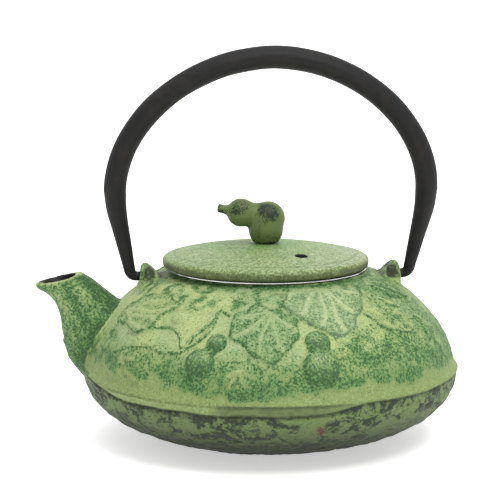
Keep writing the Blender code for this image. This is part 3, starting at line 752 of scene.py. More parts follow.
def lug_solid(name, side):
    """An ear-shaped lug: its side outline crossed with its front outline."""
    centre = np.array([LUG_OUTER_X - 0.7 - LUG_TIP_RADIUS, LUG_TOP_Z - LUG_TIP_RADIUS])
    outline = [(LUG_OUTER_X + 0.5, LUG_ROOT_Z), (LUG_OUTER_X, PIN_Z)]
    for angle in np.radians(np.linspace(15, 135, 9)):
        outline.append(tuple(centre + LUG_TIP_RADIUS * np.array([math.cos(angle),
                                                                 math.sin(angle)])))
    outline += [(LUG_FOOT_X, PIN_Z - 0.6), (LUG_FOOT_X, LUG_ROOT_Z)]
    rings = []
    for y in (-12.0, 12.0):
        rings.append([(side * x, y, z) for x, z in outline])
    lug = new_mesh_object(name, *lofted(rings))
    front = [(LUG_FOOT_HALF_WIDTH, LUG_ROOT_Z)]
    for angle in np.radians(np.linspace(-10, 190, 25)):
        front.append((LUG_TIP_HALF_WIDTH * math.cos(angle),
                      PIN_Z + LUG_TIP_HALF_WIDTH * math.sin(angle)))
    front.append((-LUG_FOOT_HALF_WIDTH, LUG_ROOT_Z))
    rings = [[(x, y, z) for y, z in front] for x in (side * 42.0, side * 60.0)]
    combine(lug, [new_mesh_object(name + "_front", *lofted(rings))], "INTERSECT")
    return lug


def rod(name, radius, start, end, z, sides=48):
    """A round cutter along X."""
    angles = 2 * math.pi * np.arange(sides) / sides
    rings = [np.stack([np.full(sides, x), radius * np.cos(angles),
                       z + radius * np.sin(angles)], axis=1) for x in (start, end)]
    return new_mesh_object(name, *lofted(rings))


def shell_radius(z):
    """The plain shell's outer radius at a height, without crest or cove."""
    dome = superellipse_radius(DOME_RADIUS, DOME_HEIGHT, DOME_POWER, np.maximum(z - CREST_Z, 0))
    bowl = superellipse_radius(BOWL_RADIUS, BOWL_HEIGHT, BOWL_POWER, np.maximum(CREST_Z - z, 0))
    return np.where(z > CREST_Z, dome, bowl)


def middle_of_wall(z):
    """Radius halfway through the shell's wall: farther out is painted, farther in is enamelled."""
    dome = superellipse_radius(CAVITY_RADIUS, CAVITY_DOME_HEIGHT, DOME_POWER,
                               np.maximum(z - CREST_Z, 0))
    bowl = superellipse_radius(CAVITY_RADIUS, CAVITY_BOWL_HEIGHT, BOWL_POWER,
                               np.maximum(CREST_Z - z, 0))
    middle = (shell_radius(z) + np.where(z > CREST_Z, dome, bowl)) / 2
    middle = np.where(z > MOUTH_Z - 3.0, MOUTH_RADIUS + 0.6, middle)
    return np.where(z < FLOOR_THICKNESS / 2, -1.0, middle)


class Field:
    """The outer skin laid flat: where each of its points is, how high it rises, how it is washed and
    where painted shade, highlights and sheen fall on it.
    """

    def __init__(self, points):
        self.angle = np.degrees(np.arctan2(points[:, 1], points[:, 0]))
        self.z = points[:, 2]
        self.radius = np.hypot(points[:, 0], points[:, 1])
        heights = np.linspace(CREST_Z, MOUTH_Z, 400)
        radii = shell_radius(heights)
        run = np.concatenate([[0.0], np.cumsum(np.hypot(np.diff(heights), np.diff(radii)))])
        self.arc_at = lambda z: np.interp(z, heights, run)
        self.arc = self.arc_at(self.z)
        self.points = points
        self.raised = np.zeros(len(points))
        self.wash_and_shade = np.zeros(len(points))
        self.pale = np.zeros(len(points))
        self.painted_sheen = np.zeros(len(points))

    def around(self, place, tilt=0.0):
        """Millimetres right of and above a place, as seen from outside, turned by tilt degrees."""
        angle, z = place
        across = np.radians((self.angle - angle + 180) % 360 - 180) * self.radius
        up = self.arc - self.arc_at(z)
        turn = math.radians(tilt)
        return (across * math.cos(turn) + up * math.sin(turn),
                up * math.cos(turn) - across * math.sin(turn))

    def add(self, raised=0.0, wash_and_shade=0.0, pale=0.0):
        self.raised = np.maximum(self.raised, raised)
        self.wash_and_shade = np.maximum(self.wash_and_shade, wash_and_shade)
        self.pale = np.maximum(self.pale, pale)


def press_leaf(field, place, lobes, veins, height=1.2, tilt=0.0, depth=0.55, painted_sheen=0.0):
    """A broad lobed leaf. lobes are (angle from straight down, reach), veins only angles."""
    across, up = field.around(place, tilt)
    angle = np.degrees(np.arctan2(across, -up))
    reach = np.hypot(across, up)
    knots, reaches = np.array(sorted(lobes), float).T
    knots = np.concatenate([[knots[-1] - 360], knots, [knots[0] + 360]])
    reaches = np.concatenate([[reaches[-1]], reaches, [reaches[0]]])
    edge = np.zeros(len(angle))
    for knot, past, near, far in zip(knots, knots[1:], reaches, reaches[1:]):
        between = (angle >= knot) & (angle < past)
        edge[between] = mix(near, far, soft_step(knot, past, angle[between]))
    edge += 0.35 * np.sin(np.radians(angle * 11))
    inside = edge - reach
    plate = soft_step(-0.5, 1.3, inside)
    rib = np.zeros(len(reach))
    for vein in veins:
        off = np.radians((angle - vein + 180) % 360 - 180 + 4.0 * np.sin(reach / 4.0 + vein))
        line = bell(reach * np.sin(off), 0.6 + 0.02 * reach)
        rib = np.maximum(rib, line * (np.abs(off) < 1.0) * soft_step(0.0, 5.0, inside + 1.5))
    dish = soft_step(0.0, 6.0, inside)
    # the third share, along the raised veins, is a painted highlight
    field.add(plate * (height - 0.35 * height * dish) + 0.6 * rib * plate,
              plate * (depth + 0.5 * bell(inside - 0.5, 0.9) - 0.1 * dish), 0.75 * rib * plate)
    # painted sheen: a pale haze of reflected light laid on the leaf
    field.painted_sheen = np.maximum(field.painted_sheen, painted_sheen * plate)


def press_blade(field, place, length, half_width, tilt, height=0.7, depth=0.8):
    """A slim pointed leaf that runs down from its place, turned by tilt."""
    across, up = field.around(place, tilt)
    t = np.clip(-up / length, 0.0, 1.0)
    side = half_width * np.sin(math.pi * t ** 0.8) ** 0.8
    inside = side - np.abs(across)
    plate = soft_step(-0.4, 0.9, inside) * (-up > 0) * (-up < length)
    rib = bell(across, 0.45) * plate
    # the third share, along the raised midrib, is a painted highlight
    field.add(plate * height + 0.35 * rib, plate * (depth - 0.3 * soft_step(0.8, 2.5, inside)),
              rib * 0.7)


def press_gourd(field, big, big_radius, small, small_radius, height):
    """A gourd of two swellings that run into each other, with a painted highlight on top and painted
    shade below.
    """
    swellings = []
    for place, radius in ((big, big_radius), (small, small_radius)):
        across, up = field.around(place)
        swellings.append(((1 - (across ** 2 + up ** 2) / radius ** 2), up / radius))
    (lower, low_up), (upper, high_up) = swellings
    share = np.clip(0.5 + (lower - upper) / 2.4, 0.0, 1.0)
    inside = mix(upper, lower, share) + 1.2 * share * (1 - share) - 0.12
    rise = mix(0.7, 1.0, share) * height * np.sqrt(np.clip(inside, 0.0, 1.0))
    body = soft_step(-0.12, 0.22, inside)
    shade = soft_step(0.5, -0.7, mix(high_up, low_up, share))
    # painted shade: the wash deepens on the lower half of each swelling
    field.add(rise, body * (0.56 + 0.40 * shade + 0.25 * bell(inside - 0.05, 0.16)))
    # painted highlight: sheen on the swellings' tops
    field.painted_sheen = np.maximum(field.painted_sheen, 0.32 * soft_step(0.25, 0.8, inside) * (1 - shade))


def press_round(field, place, radius, height, wash_and_shade):
    across, up = field.around(place)
    inside = 1 - (across ** 2 + up ** 2) / radius ** 2
    ring = bell(np.hypot(across, up) - radius, 1.3)
    field.add(height * np.sqrt(np.clip(inside, 0.0, 1.0)), ring * wash_and_shade)


def press_vine(field, places, width=0.8, height=1.15, wash_and_shade=0.95):
    """A raised stem through (angle, height) places, with a dark line along it, painted shade below it
    and a painted highlight along its top.
    """
    path = curve_through(places, 14)
    angles, heights = path.T
    radii = shell_radius(heights)
    line = np.stack([radii * np.cos(np.radians(angles)), radii * np.sin(np.radians(angles)),
                     heights], axis=1)
    near = np.flatnonzero(np.all((field.points > line.min(0) - 5)
                                 & (field.points < line.max(0) + 5), axis=1))
    gap = np.full(len(near), 99.0)
    above = np.zeros(len(near))
    for spot in line:
        reach = np.linalg.norm(field.points[near] - spot, axis=1)
        above = np.where(reach < gap, field.z[near] - spot[2], above)
        gap = np.minimum(gap, reach)
    rise, dark, light = (np.zeros(len(field.z)) for _ in range(3))
    ragged = lumps(field.points[near], 1.8, 61)
    rise[near] = height * bell(gap, width) * (0.85 + 0.15 * ragged)
    # painted shade: the dark line is stronger on the stem's lower side
    dark[near] = wash_and_shade * bell(gap - 0.6 * width + 0.3 * ragged, 0.7 * width) * (
        0.45 + 0.45 * soft_step(0.6, -0.6, above) + 0.15 * ragged)
    # painted highlight along the stem's upper side
    light[near] = 0.8 * bell(gap, 0.45 * width) * soft_step(-0.8, 0.4, above)
    field.add(rise, dark, light)


def press_pattern(field, turn):
    """The front's gourds, leaves and vines; turn repeats them on the other side."""
    def at(angle, z):
        return angle + turn, z

    press_leaf(field, at(-94.5, 63.2), [
        (-97, 10), (-85, 15), (-66, 18), (-50, 21), (-35, 19.5), (-17, 22), (0, 24), (19, 20),
        (36, 17), (67, 12), (95, 5), (180, 2.5)], (-80, -48, -14, 12, 45))
    press_leaf(field, at(-69.0, 71.0), [
        (-90, 14), (-72, 18), (-58, 23), (-42, 24.5), (-26, 25), (-4, 29), (10, 26), (26, 22),
        (44, 20.5), (66, 19), (92, 12), (180, 2)], (-70, -44, -18, 3, 24, 58), depth=0.58,
        painted_sheen=0.42)
    press_leaf(field, at(-161.0, 58.0), [
        (30, 7), (56, 10), (70, 22), (83, 26), (95, 25), (107, 29), (122, 24), (148, 15),
        (180, 6), (-90, 3)], (74, 88, 104, 122), 1.3, depth=0.46)
    press_leaf(field, at(-148.0, 43.0), [
        (0, 10), (25, 14), (45, 13), (62, 18), (80, 16), (98, 11), (130, 6), (-90, 4)],
        (25, 62, 95), 0.7, depth=0.30)
    press_leaf(field, at(-104.0, 44.0), [
        (-70, 8), (-30, 10), (10, 9), (45, 9), (80, 10), (130, 6), (180, 4)],
        (-60, -25, 15, 60), 0.6, depth=0.34)
    press_gourd(field, at(-79.3, 44.3), 8.0, at(-79.0, 53.4), 5.6, 3.2)
    press_gourd(field, at(-116.6, 45.6), 6.6, at(-112.4, 53.0), 4.5, 2.8)
    press_round(field, at(-131.0, 60.3), 3.4, 1.5, 0.1)
    press_blade(field, at(-38.5, 69.0), 18.0, 3.6, 46.0, 0.9, 0.95)
    press_blade(field, at(-31.0, 70.0), 19.0, 3.0, 34.0, 0.9, 0.8)
    press_blade(field, at(-44.0, 66.0), 15.0, 2.8, 48.0, 0.6, 0.62)
    press_vine(field, [at(-157, 43.0), at(-150, 45.2), at(-143, 48.4), at(-137, 48.9),
                       at(-130, 47.9), at(-126, 48.4), at(-121.5, 51.0), at(-117.5, 55.0),
                       at(-115.4, 59.5), at(-115, 63.5), at(-110.5, 62.5)])
    press_vine(field, [at(-122.7, 50.5), at(-121.3, 54.5), at(-118.6, 57.7), at(-115.5, 61.0)],
               0.8)
    press_vine(field, [at(-145, 53.4), at(-141, 55.6), at(-137, 56.0), at(-131, 56.4),
                       at(-126.6, 54.3), at(-124.5, 50.5)], 0.7)
    press_vine(field, [at(-56.0, 61.2), at(-53.2, 58.4), at(-50.8, 55.6), at(-46.5, 54.6),
                       at(-42.0, 53.0), at(-37.8, 53.2), at(-34.8, 55.6), at(-31.0, 57.2),
                       at(-27.8, 54.8), at(-28.8, 51.2), at(-30.5, 48.0)])


def groove_sag(angle):
    """How far the filler under the crest droops round the front left, from 0 to 1."""
    return soft_step(-165, -140, angle) * (1 - soft_step(-82, -62, angle))


def cast_body():
    """The body's plain iron skin, where spout and lugs grow smoothly out of the shell."""
    body = new_mesh_object("pot_body", *turned(shell_profile(), BODY_TURNS))
    combine(body, [new_mesh_object("spout_skin", *lofted(spout_rings(False))),
                   lug_solid("lug_left", -1), lug_solid("lug_right", 1)], "UNION")
    cutters = [new_mesh_object("hollow", *turned(hollow_profile(), BODY_TURNS)),
               new_mesh_object("channel", *lofted(spout_rings(True)))]
    for side in (-1, 1):
        cutters.append(rod("socket", SOCKET_RADIUS, side * SOCKET_END_X,
                           side * (LUG_OUTER_X + 6.0), PIN_Z))
    combine(body, cutters, "DIFFERENCE")
    fuse(body, SKIN)
    points = relax(body, corners(body), 2)
    off_shell = np.hypot(points[:, 0], points[:, 1]) - shell_radius(points[:, 2])
    near_spout = (points[:, 0] < -45) & (np.abs(points[:, 1]) < 26)
    near_lug = (np.abs(points[:, 0]) > 38) & (np.abs(points[:, 1]) < 14) & (points[:, 2] > 58)
    root = bell(off_shell - 0.6, 3.2) * (near_spout | near_lug) * (off_shell > -1.5)
    root *= soft_step(31.0, 34.0, points[:, 2])
    points = relax(body, points, 26, 1 - root)
    lip = bell(above_lip(points), 2.2) * (points[:, 0] < -74)
    points = relax(body, points, 22, 1 - lip)
    move_corners(body, points)
    return body, points


class Regions:
    """Which part of the body each point of its skin is on."""

    def __init__(self, points, normals):
        self.radius = np.hypot(points[:, 0], points[:, 1])
        self.off_shell = self.radius - shell_radius(points[:, 2])
        self.outside = self.radius > middle_of_wall(points[:, 2])
        self.outside &= ~spout_inside(points, normals)
        self.spout = self.outside & (points[:, 0] < -50) & (np.abs(points[:, 1]) < 20)
        self.spout &= self.off_shell > 0.9
        self.near_pin = (np.abs(points[:, 0]) > 43) & (np.abs(points[:, 0]) < 58)
        self.near_pin &= (np.abs(points[:, 1]) < 9.5) & self.outside
        self.lugs = self.near_pin & (self.off_shell > 0.9) & (points[:, 2] > 60)
        self.lugs |= self.near_pin & (points[:, 2] > 71)


class Crest:
    """The slightly uneven edge round the body, with filler that droops under it."""

    def __init__(self, points, angle, part):
        self.angle = angle
        self.sag = groove_sag(angle)
        self.drop = CREST_Z - points[:, 2]
        self.wave = lumps(points * (1, 1, 0), 14.0, 15)
        self.past_line = self.drop - mix(-0.3, 3.6, self.sag) - 0.4 * self.wave
        self.edge = part.outside * (np.abs(self.drop) < 8) * ~part.spout

    def push(self):
        """How far the skin moves out at each point, in millimetres."""
        drop, sag = self.drop, self.sag
        filler = sag * 0.9 * np.clip(1 - drop / 3.2, 0, 1) * (drop > 0)
        groove = 0.75 * bell(self.past_line, 0.65)
        seam = 0.35 * bell(drop + 0.6, 0.4) * sag * soft_step(-112, -104, self.angle)
        return (filler - groove - seam + 0.18 * self.wave * bell(drop, 1.5)) * self.edge


def skin_rise(points, field, part, clear):
    """How high the pattern and the sandy lumps of the casting stand, in millimetres."""
    z = points[:, 2]
    rise = field.raised * clear
    low_ground = soft_step(CREST_Z + 2, CREST_Z + 6, z) * (1 - soft_step(44, 56, z)) * part.outside
    rise += low_ground * 0.34 * lumps(points, 2.2, 11) * (field.raised < 1.0)
    rise += part.outside * 0.12 * lumps(points, 6.0, 12)
    bowl_side = part.outside * (z < CREST_Z - 1.5) * soft_step(1.0, 4.0, z)
    rise += bowl_side * (0.32 * lumps(points, 4.0, 13) + 0.17 * lumps(points, 1.8, 14))
    return rise


def dome_wash_and_shade(points, normals, field, part, clear, blot, patch):
    """Where the dome, the spout and the lugs are washed with dark green, with a painted shadow under
    the mouth's rim.
    """
    z, angle, outside = points[:, 2], field.angle, part.outside
    lower = 5.0 * bell(angle + 100, 24) + 2.0 * soft_step(-66, -50, angle)
    low = soft_step(CREST_Z + 6, CREST_Z + 10, z + lower + 1.8 * blot)
    low *= 1 - soft_step(40, 56, z + 3 * patch - 9 * soft_step(-80, -66, angle))
    wash_and_shade = np.maximum(field.wash_and_shade * clear, low * (0.56 + 0.20 * blot + 0.08 * patch))
    side = soft_step(-72, -36, angle) * (1 - soft_step(24, 44, angle))
    side *= soft_step(CREST_Z + 5, CREST_Z + 10, z)
    wash_and_shade = np.maximum(wash_and_shade, side * (0.42 + 0.14 * blot + 0.14 * patch) * outside)
    wash_and_shade = np.maximum(wash_and_shade, (0.55 + 0.3 * blot) * bell(angle + 160 + 1.5 * patch, 4.0) * outside
                      * soft_step(35, 39, z) * soft_step(56, 50, z))
    crown = soft_step(60, 67, z) * (0.36 + 0.50 * lumps(points, 3.0, 23))
    wash_and_shade = np.maximum(wash_and_shade, crown * outside * (1 - field.pale))
    # painted shadow: a dark band just under the mouth's rim, where the basket's rim and the lid shade
    # the body
    wash_and_shade = np.maximum(wash_and_shade, 0.85 * bell(z - MOUTH_Z + 0.6, 0.9) * (part.radius > 41.5))
    along = points @ np.array([-0.45, 0.0, 0.9])
    streak = lumps(np.stack([along / 9, points[:, 1], points @ np.array([0.9, 0, 0.45])], 1),
                   2.4, 24)
    spout_root = bell(part.off_shell - 1.5, 4.0)
    back = soft_step(0.2, 0.8, normals @ np.array([0.75, 0.0, 0.66]))
    wash_and_shade = np.where(part.spout, 0.56 + 0.30 * streak + 0.40 * spout_root + 0.40 * back
                    - 0.6 * soft_step(-1.6, -0.4, above_lip(points)), wash_and_shade)
    return np.where(part.lugs, 0.32 + 0.3 * patch, wash_and_shade)


def groove_shade_and_lug_patina(points, crest, part, blot, patch):
    """Painted shadow in the groove under the crest, along its seam and at the lugs' inner feet, and
    black patina on the lugs' faces.
    """
    angle, edge = crest.angle, crest.edge
    # painted shadow in the groove under the crest, with a wider streak round the front left
    black_patina_and_shade = 0.8 * bell(crest.past_line - 0.3, 0.7) * edge
    streaked = bell(crest.past_line - 1.2 - 0.5 * blot, 1.2) * edge
    black_patina_and_shade = np.maximum(black_patina_and_shade, 0.75 * streaked * bell(angle + 126, 15) * (0.8 + 0.2 * patch))
    # painted shade along the seam where the filler droops
    black_patina_and_shade = np.maximum(black_patina_and_shade, 0.7 * crest.sag * bell(crest.drop + 0.6, 0.4) * edge
                      * soft_step(-112, -104, angle))
    face = bell(np.abs(points[:, 0]) - 51.5, 2.6) * bell(points[:, 2] - 71.0, 3.4) * part.near_pin
    black_patina_and_shade = np.maximum(black_patina_and_shade, 0.95 * soft_step(0.25, 0.6, face + 0.3 * blot))
    # painted shade at the lugs' inner feet
    foot = bell(np.abs(points[:, 0]) - 46.6, 1.4) * bell(points[:, 2] - 70.0, 2.0)
    return np.maximum(black_patina_and_shade, foot * part.outside * (np.abs(points[:, 1]) < 9.0))


def make_body(material):
    body, points = cast_body()
    normals = outward(body)
    part, field = Regions(points, normals), Field(points)
    for turn in (0.0, 180.0):
        press_pattern(field, turn)
    clear = 1 - soft_step(-2.0, -0.2, points[:, 2] - MOUTH_Z + 1.5)
    clear *= soft_step(CREST_Z + 3.5, CREST_Z + 7.0, points[:, 2])
    clear *= 1 - soft_step(0.5, 1.5, part.off_shell)
    clear *= part.outside
    points = points + normals * skin_rise(points, field, part, clear)[:, None]
    crest = Crest(points, field.angle, part)
    points[:, :2] *= (1 + crest.push() / np.maximum(part.radius, 1))[:, None]
    points[:, 2] = np.maximum(points[:, 2], 0.0)
    move_corners(body, points)

    blot, patch = lumps(points, 4.2, 21), lumps(points, 9.0, 22)
    below = part.outside * soft_step(-0.4, 0.3, crest.past_line + 0.2 * blot)
    under_seam = part.outside * crest.sag * soft_step(-0.8, -0.3, crest.drop)
    under_seam = under_seam * soft_step(-114, -106, crest.angle)
    below = np.maximum(below, under_seam)
    below = np.where(part.spout & (points[:, 0] < -74),
                     soft_step(26.0, 22.0, points[:, 2] + blot), below)
    rust_gap = np.linalg.norm(points - rust_place(), axis=1)
    for name, amount in (
            ("wash_and_shade", dome_wash_and_shade(points, normals, field, part, clear, blot, patch)),
            ("pale", field.pale * clear),
            ("painted_sheen", field.painted_sheen * clear),
            ("below", below),
            ("filler", under_seam * soft_step(0.5, -0.5, crest.past_line)),
            ("lining", (~part.outside).astype(float)),
            ("black_patina_and_shade", groove_shade_and_lug_patina(points, crest, part, blot, patch)),
            ("rust", 1 - soft_step(1.5, 4.0, rust_gap + 1.2 * blot))):
        keep_mask(body, name, amount)
    return finish_piece(body, material, "pot", "body_green_iron", "body")


def above_lip(points):
    """How far a point is above the plane of the spout's mouth."""
    front, back, _ = SPOUT_STATIONS[-1]
    across = np.array([back[0] - front[0], back[1] - front[1]])
    up = np.array([-across[1], across[0]]) / np.linalg.norm(across)
    return (points[:, [0, 2]] - np.array(front)) @ up


def rust_place():
    """The middle of the rusted spot, low on the bowl's front."""
    angle, z = math.radians(-79.0), 20.0
    radius = float(shell_radius(np.array(z)))
    return np.array([radius * math.cos(angle), radius * math.sin(angle), z])


def spout_inside(points, normals):
    """Whether a point is on the wall of the spout's channel: it faces the channel's own line."""
    stations = np.array([(*front, *back) for front, back, _ in SPOUT_STATIONS])
    middle = curve_through((stations[:, :2] + stations[:, 2:]) / 2, SPOUT_FILL)
    near = np.flatnonzero((points[:, 0] < -61) & (np.abs(points[:, 1]) < 13)
                          & (points[:, 2] > 20))
    line = np.stack([middle[:, 0], np.zeros(len(middle)), middle[:, 1]], axis=1)
    gaps = np.linalg.norm(points[near, None] - line[None], axis=2)
    inward = line[gaps.argmin(1)] - points[near]
    result = np.zeros(len(points), bool)
    result[near] = (np.einsum("ij,ij->i", inward, normals[near]) > 0.6) & (gaps.min(1) < 13.5)
    return result


# === Bail ==========================================================================================

def half_bail_path():
    """The bail's right half as (x, z, radius), from its pin's end to the top of the arch."""
    leg_x, leg_z, leg_radius = BAIL_LEG_FOOT
    slope = math.atan2(BAIL_LEG_TOP[0] - leg_x, BAIL_LEG_TOP[1] - leg_z)
    bend_z = PIN_Z + BAIL_BEND_RADIUS
    bend_end_z = bend_z - BAIL_BEND_RADIUS * math.sin(slope)
    bend_end_x = leg_x + (bend_end_z - leg_z) * math.tan(slope)
    bend_x = bend_end_x - BAIL_BEND_RADIUS * math.cos(slope)
    path = [(PIN_END_X, PIN_Z, PIN_RADIUS - 0.5), (PIN_END_X + 0.15, PIN_Z, PIN_RADIUS - 0.2),
            (PIN_END_X + 0.5, PIN_Z, PIN_RADIUS)]
    for t in np.linspace(0, 1, 13):
        angle = mix(-math.pi / 2, -slope, t)
        path.append((bend_x + BAIL_BEND_RADIUS * math.cos(angle),
                     bend_z + BAIL_BEND_RADIUS * math.sin(angle),
                     mix(PIN_RADIUS, leg_radius, t)))
    arch = []
    for angle in np.linspace(0, math.pi / 2, 64):
        power = 2 / BAIL_ARCH_POWER
        arch.append((BAIL_HALF_SPAN * abs(math.cos(angle)) ** power,
                     BAIL_SPRING_Z + BAIL_ARCH_HEIGHT * math.sin(angle) ** power,
                     mix(BAIL_SPRING_RADIUS, BAIL_TOP_RADIUS, math.sin(angle))))
    leg = curve_through([BAIL_LEG_FOOT, tuple(np.mean([BAIL_LEG_FOOT, BAIL_LEG_TOP], 0)),
                         BAIL_LEG_TOP, arch[0]], 8)
    return path + [tuple(point) for point in leg[1:-1]] + arch


def make_bail(material):
    half = half_bail_path()
    path = np.array(half + [(-x, z, radius) for x, z, radius in reversed(half[:-1])])
    lean = BAIL_LEAN * (path[:, 1] - PIN_Z)
    line = np.stack([path[:, 0] + lean, np.zeros(len(path)), path[:, 1]], axis=1)
    along = np.gradient(line, axis=0)
    along /= np.linalg.norm(along, axis=1)[:, None]
    angles = 2 * math.pi * np.arange(BAIL_SIDES) / BAIL_SIDES
    rings = []
    for point, way, radius in zip(line, along, path[:, 2]):
        out = np.array([way[2], 0.0, -way[0]])
        wide = mix(1.0, BAIL_WIDENING, soft_step(*BAIL_WIDEN_Z, point[2]))
        # a bar with flattened faces, as forged, that turns round at the pins
        flat = 0.10 * soft_step(*BAIL_WIDEN_Z, point[2])
        reach = radius * (1 - flat * (1 - np.cos(4 * angles)) / 2 * 0.6)
        ring = point + np.outer(reach * np.cos(angles), out)
        ring[:, 1] += reach * wide * np.sin(angles)
        rings.append(ring)
    bail = new_mesh_object("bail_handle", *lofted(rings))
    points = corners(bail)
    free = soft_step(78, 90, points[:, 2]) * 0.10
    points += outward(bail) * (free * (lumps(points, 9.0, 31) - 1))[:, None]
    move_corners(bail, points)
    return finish_piece(bail, material, "bail", "bail_black_iron", "handle")


# === Lid and knob ==================================================================================

def lid_outline():
    crown = np.linspace(0, 1, 40)
    outline = [(LID_SHOULDER_RADIUS * t,
                LID_TOP_Z - (LID_TOP_Z - LID_SHOULDER_Z) * t ** 2) for t in crown]
    edge = eased([outline[-1], (LID_RADIUS - 0.4, LID_EDGE_Z + 0.8), (LID_RADIUS, LID_EDGE_Z),
                  (LID_RADIUS - 0.1, LID_UNDER_Z + 0.6), (LID_RADIUS - 0.7, LID_UNDER_Z),
                  (LID_SKIRT_RADIUS + 0.4, LID_UNDER_Z), (LID_SKIRT_RADIUS, LID_UNDER_Z - 0.6),
                  (LID_SKIRT_RADIUS - 0.2, LID_SKIRT_Z), (LID_SKIRT_INNER_RADIUS, LID_SKIRT_Z),
                  (LID_SKIRT_INNER_RADIUS - 0.6, LID_UNDERSIDE_EDGE_Z)], 0.7)
    outline += list(map(tuple, edge[1:]))
    for t in np.linspace(1, 0, 24)[1:]:
        drop = (LID_UNDERSIDE_TOP_Z - LID_UNDERSIDE_EDGE_Z) * t ** 2
        outline.append(((LID_SKIRT_INNER_RADIUS - 0.6) * t, LID_UNDERSIDE_TOP_Z - drop))
    return outline


def upright_rod(name, radius, low, high, x, y, sides=64):
    return new_mesh_object(name, *lofted([
        [(x + radius * math.cos(turn), y + radius * math.sin(turn), z)
         for turn in 2 * math.pi * np.arange(sides) / sides] for z in (low, high)]))


def make_lid(material):
    lid = new_mesh_object("pot_lid", *turned(lid_outline(), BODY_TURNS, LID_X))
    combine(lid, [upright_rod("screw_hole", SCREW_HOLE_RADIUS, LID_SKIRT_Z, LID_TOP_Z + 3,
                              LID_X, 0.0),
                  upright_rod("vent", VENT_RADIUS, LID_SKIRT_Z, LID_TOP_Z + 3, *VENT)],
            "DIFFERENCE")
    fuse(lid, LID_SKIN)
    points = relax(lid, corners(lid), 3)
    move_corners(lid, points)
    radius = np.hypot(points[:, 0] - LID_X, points[:, 1])
    facing = outward(lid)
    top = facing[:, 2] > 0.1
    line = bell(radius - LID_LINE_RADIUS - 0.3 * lumps(points, 12.0, 41), 0.45) * top
    points += facing * (top * 0.05 * lumps(points, 5.0, 42) - 0.12 * line)[:, None]
    points[:, 2] = np.minimum(points[:, 2], LID_TOP_Z)
    move_corners(lid, points)
    keep_mask(lid, "line", line * (0.7 + 0.3 * lumps(points, 6.0, 43)))
    flank = radius > LID_SHOULDER_RADIUS - 0.8
    keep_mask(lid, "side", soft_step(LID_SHOULDER_Z + 0.2, LID_EDGE_Z + 0.4, points[:, 2]) * flank)
    right = soft_step(0.0, 34.0, points[:, 0])
    # painted reflection towards the lid's right edge
    keep_mask(lid, "painted_reflection", right * soft_step(22.0, 38.0, radius + 4.0 * lumps(points, 9.0, 46)))
    keep_mask(lid, "under", soft_step(LID_UNDER_Z + 4.2, LID_UNDER_Z + 1.9, points[:, 2])
              * (0.8 + 0.2 * lumps(points, 4.0, 45)) * flank)
    behind = np.hypot(points[:, 0] - LID_X + 4.0, (points[:, 1] - 12.0) * 0.8)
    keep_mask(lid, "fresh", soft_step(34.0, 8.0, behind + 5.0 * lumps(points, 10.0, 44)))
    inside = soft_step(LID_SKIRT_RADIUS + 1.5, LID_SKIRT_RADIUS - 0.5, radius)
    inside *= (facing[:, 2] < 0.1) * (points[:, 2] < LID_UNDERSIDE_TOP_Z + 0.4)
    vent = np.hypot(points[:, 0] - VENT[0], points[:, 1] - VENT[1])
    keep_mask(lid, "lining", np.maximum(inside, soft_step(VENT_RADIUS + 0.5, VENT_RADIUS + 0.1,
                                                          vent)))
    return finish_piece(lid, material, "lid", "lid_green_iron", "lid")


def gourd_outline(length):
    """The knob along its own line: big bulb at 0, small bulb at length, then the stem."""
    outline = [(0.0, length + KNOB_STEM_REACH), (KNOB_STEM_RADIUS + 0.1,
                                                 length + KNOB_STEM_REACH),
               (KNOB_STEM_RADIUS - 0.1, length + KNOB_SMALL_RADIUS + 1.5),
               (KNOB_STEM_RADIUS + 0.1, length + KNOB_SMALL_RADIUS + 0.3)]
    for turn in np.radians(np.linspace(65, -26, 16)):
        outline.append((KNOB_SMALL_RADIUS * math.cos(turn),
                        length + KNOB_SMALL_RADIUS * math.sin(turn)))
    outline.append((KNOB_NECK_RADIUS, length / 2 + 0.6))
    for turn in np.radians(np.linspace(32, -90, 24)):
        outline.append((KNOB_BIG_RADIUS * math.cos(turn), KNOB_BIG_RADIUS * math.sin(turn)))
    outline[-1] = (0.0, -KNOB_BIG_RADIUS)
    return outline


